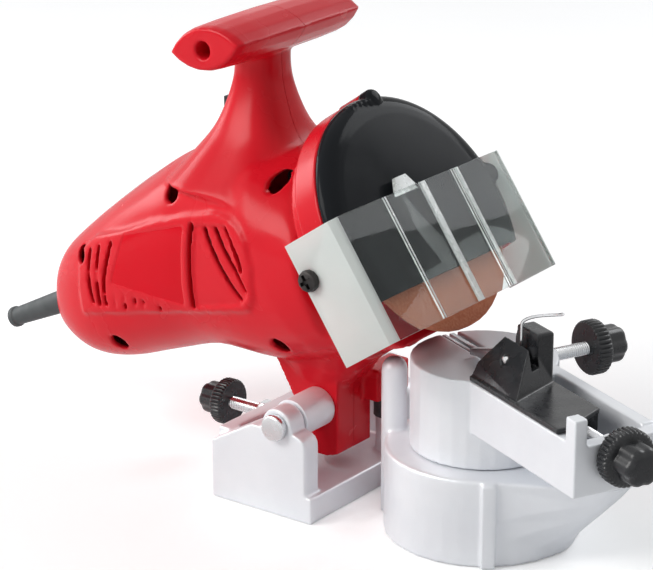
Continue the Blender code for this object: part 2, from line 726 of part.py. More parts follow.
def pivot_pin():
    head = PLATE_HALF_WIDTH + TOUCH_GAP
    edge = arc((PIN_HEAD_RADIUS - KNOB_EDGE, head + PIN_HEAD_HEIGHT - KNOB_EDGE), KNOB_EDGE,
               0, math.radians(90), SMALL_STEPS // 5)
    groove = -PLATE_HALF_WIDTH - TOUCH_GAP
    neck = PIN_RADIUS - CLIP_GROOVE_DEPTH
    profile = [(0, groove - PIN_END_LENGTH), (PIN_RADIUS, groove - PIN_END_LENGTH),
               (PIN_RADIUS, groove - CLIP_THICK - TOUCH_GAP), (neck, groove - CLIP_THICK - TOUCH_GAP),
               (neck, groove + TOUCH_GAP), (PIN_RADIUS, groove + TOUCH_GAP), (PIN_RADIUS, head),
               (PIN_HEAD_RADIUS, head)] + edge + [(0, head + PIN_HEAD_HEIGHT)]
    turned("pivot_pin", profile, PIVOT, steps=ROUND_STEPS // 2 + 4, finish="zinc", rig="base")
    sleeve("pivot_clip", neck + TOUCH_GAP, CLIP_RADIUS, groove - CLIP_THICK, groove, PIVOT, SMALL_STEPS,
           finish="steel", rig="base")


def spring_sleeve():
    """Cup round the return spring, seated on the pin between ear and leg."""
    low = LEG_HALF_WIDTH + SPACER_PLAY
    high = EAR_INSIDE - TOUCH_GAP
    bore = PIN_RADIUS + BORE_GAP
    inner = BARREL_RADIUS - BARREL_WALL
    profile = [(bore, high - BARREL_WALL), (bore, high), (BARREL_RADIUS, high), (BARREL_RADIUS, low),
               (inner, low), (inner, high - BARREL_WALL)]
    turned("spring_sleeve", profile, PIVOT, finish="cast", rig="base")


def return_spring():
    """Coil round the pin that lifts the head; it prints its least gap to itself."""
    low = LEG_HALF_WIDTH + SPRING_MARGIN
    high = EAR_INSIDE - BARREL_WALL - SPRING_MARGIN
    count = SPRING_TURNS * SPRING_POINTS_PER_TURN
    points = []
    for step in range(count + 1):
        turn = math.tau * step / SPRING_POINTS_PER_TURN
        points.append((SPRING_COIL_RADIUS * math.cos(turn), SPRING_COIL_RADIUS * math.sin(turn),
                       low + (high - low) * step / count))
    tube("return_spring", points, SPRING_WIRE_RADIUS, PIVOT, finish="steel", rig="base")
    print("return_spring least gap to itself", round((high - low) / SPRING_TURNS - 2 * SPRING_WIRE_RADIUS, 5))


def tube(name, points, radius, frame, **look):
    """A round wire through the points, with flat ends."""
    places = [Vector(point) for point in points]
    side = (places[1] - places[0]).orthogonal().normalized()
    rings = []
    for step, place in enumerate(places):
        along = (places[min(step + 1, len(places) - 1)] - places[max(step - 1, 0)]).normalized()
        side = (side - along * side.dot(along)).normalized()
        across = along.cross(side)
        rings.append([tuple(place + (side * math.cos(math.tau * spoke / WIRE_SPOKES)
                                     + across * math.sin(math.tau * spoke / WIRE_SPOKES)) * radius)
                      for spoke in range(WIRE_SPOKES)])
    return lofted(name, rings, frame, **look)


# Knobs and screws

def lobed_outline(radius, lobes, lobe_share, steps):
    outline = []
    for step in range(steps):
        turn = math.tau * step / steps
        reach = radius * (1 - lobe_share * (1 - math.cos(lobes * turn)))
        outline.append((reach * math.cos(turn), reach * math.sin(turn)))
    return outline


def knob(name, frame, rig, size_share=1.0):
    """Round flange with a fluted cap; the frame's Z runs from the screw out of the cap."""
    flange = FLANGE_RADIUS * size_share
    edge = KNOB_EDGE
    profile = [(0, 0), (flange - 2 * edge, 0), (flange, 2 * edge), (flange, FLANGE_THICK - edge),
               (flange - edge, FLANGE_THICK), (0, FLANGE_THICK)]
    body = turned(name, profile, frame, steps=ROUND_STEPS - 8, finish="black", rig=rig)
    crest = CAP_RADIUS * size_share / (1 - CAP_LOBE_SHARE)
    outline = lobed_outline(crest, CAP_LOBES, CAP_LOBE_SHARE, CAP_STEPS)
    cap = prism(name + "_cap", outline, FLANGE_THICK / 2, FLANGE_THICK + CAP_LENGTH, frame)
    round_edges(cap, KNOB_EDGE, steps=1)
    socket = rod(name + "_socket", THREAD_RADIUS + BORE_GAP, -CUT_OVERRUN, KNOB_SOCKET_DEPTH, frame)
    unite(body, cap)
    cut(body, socket)
    return body


def threaded_rod(name, low, high, frame, rig):
    """Screw with a chamfered tip."""
    tip = THREAD_RADIUS / 4
    profile = [(0, low), (THREAD_RADIUS - tip, low), (THREAD_RADIUS, low + tip),
               (THREAD_RADIUS, high), (0, high)]
    return turned(name, profile, frame, steps=SMALL_STEPS, finish="zinc", rig=rig)


def hex_outline(radius):
    turns = [math.tau * side / 6 for side in range(6)]
    return [(radius * math.cos(turn), radius * math.sin(turn)) for turn in turns]


def depth_stop():
    frame = depth_frame()
    tip = -LEG_REAR + DEPTH_TIP_GAP
    face = -DEPTH_KNOB_FACE
    threaded_rod("depth_screw", tip, face + KNOB_SOCKET_DEPTH - TOUCH_GAP, frame, "depth")
    knob("depth_knob", frame @ Matrix.Translation((0, 0, face)), "depth_turn", DEPTH_KNOB_SHARE)
    nut = prism("depth_locknut", hex_outline(LOCKNUT_RADIUS), -PLATE_REAR + TOUCH_GAP,
                -PLATE_REAR + TOUCH_GAP + LOCKNUT_THICK, frame, finish="zinc", rig="base", smooth=False)
    cut(nut, rod("locknut_hole", THREAD_RADIUS + BORE_GAP, -PLATE_REAR - CUT_OVERRUN,
                 -PLATE_REAR + LOCKNUT_THICK + CUT_OVERRUN, frame))


# Turning vise

def vise_body():
    low = DRUM_HEIGHT + TOUCH_GAP
    body = rod("vise_body", VISE_RADIUS, low, VISE_TOP, VISE, steps=ROUND_STEPS, finish="cast", rig="vise")
    start = VISE_RADIUS / 2
    channel = box("channel", (start, -ARM_HALF_WIDTH, ARM_LOW), (ARM_REACH, ARM_HALF_WIDTH, VISE_TOP), VISE)
    post = box("post", (ARM_REACH - ARM_END_THICK, -ARM_HALF_WIDTH, ARM_LOW),
               (ARM_REACH, ARM_WALL - ARM_HALF_WIDTH, VISE_TOP + POST_HEIGHT), VISE)
    boss_frame = clamp_frame()
    boss = rod("clamp_boss", CLAMP_BOSS_RADIUS, VISE_RADIUS / 2, CLAMP_BOSS_END, boss_frame)
    unite(body, channel, post, boss)
    trough = box("trough", (VISE_RADIUS, ARM_WALL - ARM_HALF_WIDTH, ARM_LOW + ARM_FLOOR),
                 (ARM_REACH - ARM_END_THICK, ARM_HALF_WIDTH - ARM_WALL, VISE_TOP + CUT_OVERRUN), VISE)
    drop = box("end_drop", (ARM_REACH - ARM_END_THICK - TOUCH_GAP, ARM_WALL - ARM_HALF_WIDTH,
                            VISE_TOP - END_WALL_DROP),
               (ARM_REACH + CUT_OVERRUN, ARM_HALF_WIDTH + CUT_OVERRUN, VISE_TOP + CUT_OVERRUN), VISE)
    slot = box("end_slot", (ARM_REACH - ARM_END_THICK - CUT_OVERRUN, -END_SLOT_HALF_WIDTH,
                            ADJUST_SCREW_Z - END_SLOT_HALF_WIDTH),
               (ARM_REACH + CUT_OVERRUN, END_SLOT_HALF_WIDTH, VISE_TOP + CUT_OVERRUN), VISE)
    groove = box("groove", (-VISE_RADIUS - CUT_OVERRUN, -CHAIN_GAP / 2 - RAIL_THICK - TOUCH_GAP,
                            VISE_TOP - GROOVE_DEPTH),
                 (VISE_RADIUS + CUT_OVERRUN, CHAIN_GAP / 2 + JAW_THICK + GROOVE_PLAY,
                  VISE_TOP + CUT_OVERRUN), VISE)
    screw_hole = rod("clamp_hole", THREAD_RADIUS + BORE_GAP, 0, CLAMP_BOSS_END + CUT_OVERRUN, boss_frame)
    stud_hole = rod("vise_stud_hole", STUD_RADIUS + BORE_GAP, low - CUT_OVERRUN, low + STUD_SINK, VISE)
    cut(body, trough, drop, slot, groove, screw_hole, stud_hole)


def clamp_frame():
    return frame_at(Vector((DRUM_X, 0, CLAMP_SCREW_Z)), ACROSS_ARM, ALONG_ARM)


def chain_clamp():
    """Fixed rail and moving jaw that grip the chain's drive links, and the screw behind the jaw."""
    reach = math.sqrt(VISE_RADIUS ** 2 - (CHAIN_GAP + RAIL_THICK + JAW_THICK) ** 2) - TOUCH_GAP
    low = VISE_TOP - GROOVE_DEPTH + TOUCH_GAP
    high = VISE_TOP - TOUCH_GAP
    box("chain_rail", (-reach, -CHAIN_GAP / 2 - RAIL_THICK, low), (reach, -CHAIN_GAP / 2, high), VISE,
        finish="steel", rig="vise", smooth=False)
    box("clamp_jaw", (-reach, CHAIN_GAP / 2, low), (reach, CHAIN_GAP / 2 + JAW_THICK, high), VISE,
        finish="steel", rig="clamp", smooth=False)
    frame = clamp_frame()
    tip = CHAIN_GAP / 2 + JAW_THICK + TOUCH_GAP
    threaded_rod("clamp_screw", tip, CLAMP_KNOB_FACE + KNOB_SOCKET_DEPTH - TOUCH_GAP, frame, "clamp")
    knob("clamp_knob", frame @ Matrix.Translation((0, 0, CLAMP_KNOB_FACE)), "clamp_turn")


def turntable_lock():
    low = DRUM_HEIGHT - DRUM_ROOF - TOUCH_GAP - WASHER_THICK
    rod("turntable_stud", STUD_RADIUS, STUD_LOW, DRUM_HEIGHT + STUD_SINK, VISE, finish="zinc", rig="vise")
    sleeve("lock_washer", STUD_RADIUS + BORE_GAP, WASHER_RADIUS, low, low + WASHER_THICK, VISE, SMALL_STEPS,
           finish="zinc", rig="base")
    outline = lobed_outline(LOCK_KNOB_RADIUS, LOCK_KNOB_LOBES, CAP_LOBE_SHARE, CAP_STEPS)
    high = low - TOUCH_GAP
    lock = prism("lock_knob", outline, high - LOCK_KNOB_HEIGHT, high, VISE, finish="black", rig="lock")
    round_edges(lock, KNOB_EDGE, steps=1)
    cut(lock, rod("lock_knob_hole", STUD_RADIUS + BORE_GAP, high - LOCK_KNOB_HEIGHT - CUT_OVERRUN,
                  high + CUT_OVERRUN, VISE))


def adjust_frame():
    return frame_at(Vector((DRUM_X, 0, ADJUST_SCREW_Z)), ALONG_ARM, -ACROSS_ARM)


def chain_stop_screw():
    """Screw held in the arm's end slot between its collar and the knob."""
    frame = adjust_frame()
    face = ARM_REACH + ADJUST_KNOB_GAP
    collar = ARM_REACH - ARM_END_THICK - TOUCH_GAP
    end = face + KNOB_SOCKET_DEPTH - TOUCH_GAP
    screw = threaded_rod("adjust_screw", ADJUST_SCREW_START, end, frame, "adjust")
    unite(screw, rod("screw_collar", ADJUST_COLLAR_RADIUS, collar - ADJUST_COLLAR_THICK, collar, frame))
    knob("adjust_knob", frame @ Matrix.Translation((0, 0, face)), "adjust")


def hull(name, points, frame, **look):
    data = bmesh.new()
    for point in points:
        data.verts.new(point)
    result = bmesh.ops.convex_hull(data, input=data.verts)
    spare = [item for item in result["geom_interior"] if isinstance(item, bmesh.types.BMVert)]
    bmesh.ops.delete(data, geom=spare, context="VERTS")
    bmesh.ops.dissolve_limit(data, angle_limit=math.radians(1), verts=data.verts, edges=data.edges)
    return add_object(name, data, frame, smooth=False, **look)


def stop_carriage():
    """Black slide on the arm: a thin plate, a sloping web, the tall head and the nut block."""
    low = VISE_TOP + TOUCH_GAP
    top = low + CARRIAGE_PLATE_THICK
    near = -ARM_HALF_WIDTH
    half = CARRIAGE_HEAD_HALF_WIDTH
    plan = [(CARRIAGE_NOSE_START, near), (CARRIAGE_NEAR_END, near), (CARRIAGE_NEAR_END, near + ARM_WALL),
            (CARRIAGE_PLATE_END, CARRIAGE_FAR_EDGE), (CARRIAGE_PLATE_START, CARRIAGE_FAR_EDGE),
            (CARRIAGE_NOSE_START, near + ARM_WALL)]
    carriage = prism("stop_carriage", plan, low, top, VISE, finish="black", rig="carriage", smooth=False)
    head_top = VISE_TOP + CARRIAGE_HEAD_HEIGHT
    foot = near + CARRIAGE_INSET
    web = hull("web", [
        (CARRIAGE_NOSE_START, foot, top - CARRIAGE_SINK), (CARRIAGE_WEB_END, foot, top - CARRIAGE_SINK),
        (CARRIAGE_NOSE_START, foot + ARM_WALL / 2, low + CARRIAGE_SHOULDER),
        (CARRIAGE_HEAD_END, half, top - CARRIAGE_SINK), (CARRIAGE_HEAD_START, half, top - CARRIAGE_SINK),
        (CARRIAGE_HEAD_START, -half, head_top - CARRIAGE_NECK_DROP),
        (CARRIAGE_HEAD_END, -half, head_top - CARRIAGE_NECK_DROP),
        (CARRIAGE_HEAD_START, 0, head_top - CARRIAGE_NECK_DROP)], VISE)
    head = box("head", (CARRIAGE_HEAD_START, -half, low + CARRIAGE_SINK),
               (CARRIAGE_HEAD_END, half, head_top), VISE)
    round_edges(head, KNOB_EDGE)
    nut_block = box("nut_block", (NUT_BLOCK_START, -NUT_BLOCK_HALF_WIDTH, NUT_BLOCK_LOW),
                    (NUT_BLOCK_END, NUT_BLOCK_HALF_WIDTH, top), VISE)
    unite(carriage, web, head, nut_block)
    slot_low = PAWL_ACROSS - PAWL_HALF_THICK - SLOT_PLAY
    slot_high = PAWL_ACROSS + PAWL_HALF_THICK + SLOT_PLAY
    deep_slot = box("deep_slot", (CARRIAGE_NOSE_START - CUT_OVERRUN, slot_low, top + SLOT_PLAY),
                    (PAWL_SLOT_END, slot_high, head_top + CUT_OVERRUN), VISE)
    high_slot = box("high_slot", (PAWL_SLOT_END - CUT_OVERRUN, slot_low, VISE_TOP + PAWL_SLOT_FLOOR),
                    (CARRIAGE_HEAD_END + CUT_OVERRUN, slot_high, head_top + CUT_OVERRUN), VISE)
    pin_hole = rod("pawl_pin_hole", PAWL_PIN_RADIUS + BORE_GAP, -PAWL_PIN_HALF_LENGTH - CUT_OVERRUN,
                   PAWL_PIN_HALF_LENGTH + CUT_OVERRUN, pawl_frame())
    screw_hole = rod("nut_hole", THREAD_RADIUS + BORE_GAP, NUT_BLOCK_START - CUT_OVERRUN,
                     NUT_BLOCK_END + CUT_OVERRUN, adjust_frame())
    cut(carriage, deep_slot, high_slot, pin_hole, screw_hole)


def pawl_place(along, across, height):
    return Vector((DRUM_X, 0, 0)) + ALONG_ARM * along + ACROSS_ARM * across + Z_AXIS * height


def pawl_frame():
    """On the pawl's pin, Z across the arm towards the far side, X back down the arm."""
    centre = pawl_place(PAWL_PIN_ALONG, PAWL_ACROSS, VISE_TOP + PAWL_PIN_RISE)
    return frame_at(centre, ACROSS_ARM, ALONG_ARM)


def stop_pawl():
    """Finger that the chain's cutter rests against; it flips up to let the chain pass."""
    frame = pawl_frame()
    tip_x = PAWL_TIP_ALONG - PAWL_PIN_ALONG
    tip_low = -(PAWL_TIP_RISE - PAWL_PIN_RISE)
    waist_x = PAWL_WAIST_ALONG - PAWL_PIN_ALONG
    waist_low = -(PAWL_WAIST_RISE - PAWL_PIN_RISE)
    eye = arc((0, 0), PAWL_EYE_RADIUS, math.radians(-100), math.radians(95), SMALL_STEPS // 2)
    outline = eye + [(waist_x, waist_low), (tip_x, tip_low), (tip_x, tip_low - PAWL_TIP_HEIGHT)]
    pawl = prism("stop_pawl", outline, -PAWL_HALF_THICK, PAWL_HALF_THICK, frame, finish="steel", rig="pawl",
                 smooth=False)
    cut(pawl, rod("pawl_eye", PAWL_PIN_RADIUS + BORE_GAP, -PAWL_HALF_THICK - CUT_OVERRUN,
                  PAWL_HALF_THICK + CUT_OVERRUN, frame))
    rod("pawl_pin", PAWL_PIN_RADIUS, -PAWL_PIN_HALF_LENGTH, PAWL_PIN_HALF_LENGTH, frame, steps=SMALL_STEPS - 4,
        finish="zinc", rig="carriage")
    lift_wire(frame)


def lift_wire(frame):
    """Bright wire that flips the pawl: up out of the slot, then out over the head."""
    start = -PAWL_EYE_RADIUS - TOUCH_GAP
    points = [(0, start, 0)]
    for step in range(LIFT_WIRE_POINTS):
        share = step / (LIFT_WIRE_POINTS - 1)
        ease = share * share * (3 - 2 * share)
        points.append((LIFT_WIRE_FORWARD * ease * share, -LIFT_WIRE_RISE - LIFT_WIRE_CLIMB * share,
                       LIFT_WIRE_ACROSS * ease))
    tube("pawl_lift_wire", points, LIFT_WIRE_RADIUS, frame, finish="zinc", rig="pawl")


# Grinding head

def guard_cover():
    """Black cup over the disc, open below its straight lower edge, with three screw lugs."""
    back = GUARD_BACK + GUARD_BACK_THICK + TOUCH_GAP
    edge = arc((GUARD_RADIUS - GUARD_EDGE, GUARD_FRONT - GUARD_EDGE), GUARD_EDGE, 0, math.radians(90),
               SMALL_STEPS // 5)
    cover = turned("guard_cover", [(0, back), (GUARD_RADIUS, back)] + edge + [(0, GUARD_FRONT)], HEAD,
                   steps=ROUND_STEPS + ROUND_STEPS // 2, finish="black", rig="head")
    for place, frame in enumerate(lug_frames()):
        unite(cover, rod(f"cover_lug_{place}", GUARD_LUG_RADIUS, back, GUARD_FRONT - GUARD_LUG_SETBACK, frame))
    room = rod("disc_room", GUARD_RADIUS - GUARD_WALL, back - CUT_OVERRUN, GUARD_FRONT - GUARD_WALL, HEAD,
               steps=ROUND_STEPS + ROUND_STEPS // 2)
    cut(cover, room, below_chord("cover_mouth"))
    for place, frame in enumerate(lug_frames()):
        cut(cover, rod(f"cover_thread_{place}", GUARD_SCREW_RADIUS + BORE_GAP, back - CUT_OVERRUN,
                       GUARD_BACK + GUARD_SCREW_LENGTH + TOUCH_GAP, frame))


def lug_frames():
    frames = []
    for angle in GUARD_LUG_ANGLES:
        place = (GUARD_LUG_OUT * math.cos(angle), GUARD_LUG_OUT * math.sin(angle), 0)
        frames.append(HEAD @ Matrix.Translation(place))
    return frames


def below_chord(name):
    reach = GUARD_RADIUS + CUT_OVERRUN
    return box(name, (-reach, -reach, GUARD_BACK - CUT_OVERRUN),
               (reach, GUARD_CHORD, GUARD_FRONT + CUT_OVERRUN), HEAD)


def shield_side_frame(side):
    """On the shield's pivot, Z outwards to one side."""
    return frame_at(head_point(0, SHIELD_PIVOT_UP, SHIELD_PIVOT_BACK), Y_AXIS * side, N_AXIS)


def guard_back():
    """Plate behind the disc, with the lugs' seats and the two bosses that carry the shield."""
    front = GUARD_BACK + GUARD_BACK_THICK
    plate = rod("guard_back", GUARD_RADIUS, GUARD_BACK, front, HEAD, steps=ROUND_STEPS + ROUND_STEPS // 2,
                finish="black", rig="head")
    for place, frame in enumerate(lug_frames()):
        unite(plate, rod(f"back_lug_{place}", GUARD_LUG_RADIUS, GUARD_BACK, front, frame))
    cut(plate, below_chord("back_mouth"))
    outer_end = SHIELD_HALF_WIDTH - SHIELD_THICK - SHIELD_PLAY
    for side in (-1, 1):
        unite(plate, rod(f"shield_boss_{side}", SHIELD_ARM_RADIUS, SHIELD_ARM_ROOT, outer_end,
                         shield_side_frame(side)))
    cut(plate, rod("shaft_hole", SHAFT_HOLE_RADIUS, GUARD_BACK - CUT_OVERRUN, front + CUT_OVERRUN, HEAD))
    for side in (-1, 1):
        cut(plate, rod(f"shield_thread_{side}", SHIELD_PIVOT_RADIUS + BORE_GAP,
                       SHIELD_ARM_ROOT + SHIELD_THICK / 2, outer_end + CUT_OVERRUN, shield_side_frame(side)))
    for place, frame in enumerate(lug_frames()):
        cut(plate, rod(f"back_hole_{place}", GUARD_SCREW_RADIUS + BORE_GAP, GUARD_BACK - CUT_OVERRUN,
                       front + CUT_OVERRUN, frame))


def pan_screw(name, radius, length, head_radius, head_height, frame, rig):
    """Screw whose head sits on the frame's origin and whose shank runs down its Z."""
    edge = arc((head_radius - head_height / 2, head_height / 2), head_height / 2, 0, math.radians(90),
               SCREW_STEPS // 6)
    profile = [(0, -length), (radius, -length), (radius, 0), (head_radius, 0)] + edge + [(0, head_height)]
    screw = turned(name, profile, frame, steps=SCREW_STEPS, finish="zinc", rig=rig)
    slot = head_height / 2
    for turn, (long, wide) in enumerate(((head_radius * 2 / 3, slot / 2), (slot / 2, head_radius * 2 / 3))):
        cut(screw, box(f"{name}_cross_{turn}", (-long, -wide, head_height - slot),
                       (long, wide, head_height + CUT_OVERRUN), frame))
    return screw


def guard_screws():
    for place, frame in enumerate(lug_frames()):
        seat = frame @ Matrix.Translation((0, 0, GUARD_BACK - TOUCH_GAP)) @ Matrix.Rotation(math.pi, 4, "X")
        pan_screw(f"guard_screw_{place + 1}", GUARD_SCREW_RADIUS, GUARD_SCREW_LENGTH, GUARD_SCREW_HEAD_RADIUS,
                  GUARD_SCREW_HEAD_HEIGHT, seat, "head")


def shifted_path(path, depth):
    """An open path moved to its left by a depth, with mitred corners."""
    moved = []
    for step, point in enumerate(path):
        before = Vector(path[max(step - 1, 0)])
        after = Vector(path[min(step + 1, len(path) - 1)])
        here = Vector(point)
        first = (here - before).normalized() if step else (after - here).normalized()
        second = (after - here).normalized() if step < len(path) - 1 else first
        normal = (first.orthogonal() + second.orthogonal()).normalized()
        reach = depth / normal.dot(first.orthogonal())
        moved.append(tuple(here + normal * reach))
    return moved


def eye_shield():
    """Clear U-shaped screen, bent in flats, that hangs on two screws."""
    side = SHIELD_HALF_WIDTH
    low = SHIELD_FRONT - SHIELD_CROWN
    wing = SHIELD_FRONT - SHIELD_WING_DEPTH
    path = [(-side, wing), (-side, low - SHIELD_CORNER), (SHIELD_CORNER - side, low),
            (SHIELD_BEND_1, SHIELD_FRONT - SHIELD_CROWN / 4), (SHIELD_BEND_2, SHIELD_FRONT),
            (SHIELD_BEND_3 - SHIELD_STEP_WIDTH, SHIELD_FRONT - SHIELD_CROWN / 4),
            (SHIELD_BEND_3, SHIELD_FRONT - SHIELD_CROWN / 4 - SHIELD_STEP / 2), (side - SHIELD_CORNER, low),
            (side, low - SHIELD_CORNER), (side, wing)]
    inner = shifted_path(path, -SHIELD_THICK)
    outline = [(y, -n) for y, n in path + inner[::-1]]
    shield = prism("eye_shield", outline, SHIELD_LOW, SHIELD_HIGH, SHIELD, finish="clear", rig="shield",
                   smooth=False)
    tab_wide = SHIELD_TAB_HALF_WIDTH
    tab_thin = SHIELD_TAB_HALF_WIDTH * SHIELD_TAB_SHARE
    tab_root = SHIELD_HIGH - SHIELD_THICK
    tab_top = SHIELD_HIGH + SHIELD_TAB_HEIGHT
    tab = prism("shield_tab", [(SHIELD_TAB_Y - tab_wide, tab_root), (SHIELD_TAB_Y + tab_wide, tab_root),
                               (SHIELD_TAB_Y + tab_thin, tab_top), (SHIELD_TAB_Y - tab_thin, tab_top)],
                SHIELD_FRONT - SHIELD_CROWN / 2 - SHIELD_THICK, SHIELD_FRONT - SHIELD_CROWN / 2, HEAD)
    unite(shield, tab)
    for side in (-1, 1):
        cut(shield, rod(f"shield_hole_{side}", SHIELD_PIVOT_RADIUS + BORE_GAP,
                        SHIELD_HALF_WIDTH - SHIELD_THICK - CUT_OVERRUN / 2, SHIELD_HALF_WIDTH + CUT_OVERRUN,
                        shield_side_frame(side)))
    length = SHIELD_HALF_WIDTH - SHIELD_ARM_ROOT - SHIELD_THICK
    for side, place in ((-1, "near"), (1, "far")):
        seat = shield_side_frame(side) @ Matrix.Translation((0, 0, SHIELD_HALF_WIDTH + TOUCH_GAP))
        pan_screw(f"shield_screw_{place}", SHIELD_PIVOT_RADIUS, length, SHIELD_PIVOT_HEAD_RADIUS,
                  SHIELD_PIVOT_HEAD_THICK, seat, "head")


def disc_stack():
    """Grinding disc clamped between the shaft's flange and a washer, held by one screw."""
    disc_back = DISC_FRONT - DISC_THICK
    sleeve("grinding_disc", DISC_BORE, DISC_RADIUS, disc_back, DISC_FRONT, HEAD,
           steps=ROUND_STEPS + ROUND_STEPS // 2, finish="disc", rig="spin")
    seat = disc_back - TOUCH_GAP
    bore = SHAFT_NOSE_RADIUS + BORE_GAP
    profile = [(bore, seat - INNER_FLANGE_THICK), (FLANGE_DISC_RADIUS, seat - INNER_FLANGE_THICK),
               (FLANGE_DISC_RADIUS, seat), (SPIGOT_RADIUS, seat),
               (SPIGOT_RADIUS, seat + DISC_THICK * SPIGOT_SHARE), (bore, seat + DISC_THICK * SPIGOT_SHARE)]
    turned("inner_flange", profile, HEAD, finish="steel", rig="spin")
    washer = DISC_FRONT + TOUCH_GAP
    sleeve("outer_washer", DISC_SCREW_RADIUS + BORE_GAP, OUTER_WASHER_RADIUS, washer,
           washer + OUTER_WASHER_THICK, HEAD, finish="zinc", rig="spin")
    head_seat = washer + OUTER_WASHER_THICK + TOUCH_GAP
    pan_screw("disc_screw", DISC_SCREW_RADIUS, DISC_SCREW_LENGTH, DISC_SCREW_HEAD_RADIUS,
              DISC_SCREW_HEAD_HEIGHT, HEAD @ Matrix.Translation((0, 0, head_seat)), "spin")
    return seat - INNER_FLANGE_THICK - TOUCH_GAP


# Motor

MOTOR_BACK = MOTOR_FRONT - MOTOR_LENGTH
CAP_FRONT = MOTOR_BACK - TOUCH_GAP
BRUSH_N = MOTOR_BACK + BRUSH_HOLDER_SIZE / 2 + BRUSH_SIZE / 2 - TOUCH_GAP


def motor_can():
    inner = MOTOR_RADIUS - MOTOR_WALL
    nose = MOTOR_FRONT + MOTOR_NOSE_LENGTH
    bearing = BEARING_RADIUS + BORE_GAP
    hole = SHAFT_RADIUS + 3 * BORE_GAP
    profile = [(hole, nose), (MOTOR_NOSE_RADIUS, nose), (MOTOR_NOSE_RADIUS, MOTOR_FRONT),
               (MOTOR_RADIUS, MOTOR_FRONT), (MOTOR_RADIUS, MOTOR_BACK), (inner, MOTOR_BACK),
               (inner, MOTOR_FRONT - MOTOR_END_WALL), (bearing, MOTOR_FRONT - MOTOR_END_WALL),
               (bearing, nose - MOTOR_NOSE_WALL), (hole, nose - MOTOR_NOSE_WALL)]
    turned("motor_can", profile, HEAD, finish="steel", rig="head")
    bearing_front = nose - MOTOR_NOSE_WALL - TOUCH_GAP
    sleeve("front_bearing", SHAFT_RADIUS + BORE_GAP, BEARING_RADIUS, bearing_front - BEARING_WIDTH,
           bearing_front, HEAD, finish="zinc", rig="head")


def magnet(name, middle):
    """Curved magnet inside the can, centred on one direction."""
    outer = MOTOR_RADIUS - MOTOR_WALL - BORE_GAP
    inner = outer - MAGNET_THICK
    start = middle - MAGNET_HALF_ANGLE
    end = middle + MAGNET_HALF_ANGLE
    outline = arc((0, 0), outer, start, end, MAGNET_STEPS) + arc((0, 0), inner, end, start, MAGNET_STEPS)
    front = MOTOR_FRONT - MAGNET_FRONT
    prism(name, outline, front - MAGNET_LENGTH, front, HEAD, finish="magnet", rig="head")


def armature():
    outline = []
    for slot in range(ARMATURE_SLOTS):
        start = math.tau * slot / ARMATURE_SLOTS
        pitch = math.tau / ARMATURE_SLOTS
        low, high = (start + pitch * share for share in ARMATURE_TOOTH_SHARES)
        for radius, turn in ((ARMATURE_RADIUS * ARMATURE_SLOT_SHARE, low), (ARMATURE_RADIUS, low),
                             (ARMATURE_RADIUS, (low + high) / 2), (ARMATURE_RADIUS, high),
                             (ARMATURE_RADIUS * ARMATURE_SLOT_SHARE, high)):
            outline.append((radius * math.cos(turn), radius * math.sin(turn)))
    front = MOTOR_FRONT - ARMATURE_FRONT
    core = prism("armature", outline, front - ARMATURE_LENGTH, front, HEAD, finish="copper", rig="spin")
    cut(core, rod("armature_hole", SHAFT_RADIUS + BORE_GAP, front - ARMATURE_LENGTH - CUT_OVERRUN,
                  front + CUT_OVERRUN, HEAD))
    sleeve("commutator", SHAFT_RADIUS + BORE_GAP, COMMUTATOR_RADIUS, BRUSH_N - COMMUTATOR_LENGTH / 2,
           BRUSH_N + COMMUTATOR_LENGTH / 2, HEAD, finish="copper", rig="spin")


def motor_shaft(shoulder):
    """Shaft in both bearings, stepped down under the disc's flange and tapped for its screw."""
    end = CAP_FRONT - END_CAP_THICK - END_BOSS_LENGTH + 2 * END_CAP_THICK
    nose = -SHAFT_RADIUS / 4
    profile = [(0, end), (SHAFT_RADIUS, end), (SHAFT_RADIUS, shoulder), (SHAFT_NOSE_RADIUS, shoulder),
               (SHAFT_NOSE_RADIUS, nose), (0, nose)]
    shaft = turned("motor_shaft", profile, HEAD, steps=SMALL_STEPS, finish="steel", rig="spin")
    cut(shaft, rod("shaft_thread", DISC_SCREW_RADIUS + BORE_GAP, -DISC_SCREW_LENGTH, CUT_OVERRUN, HEAD))


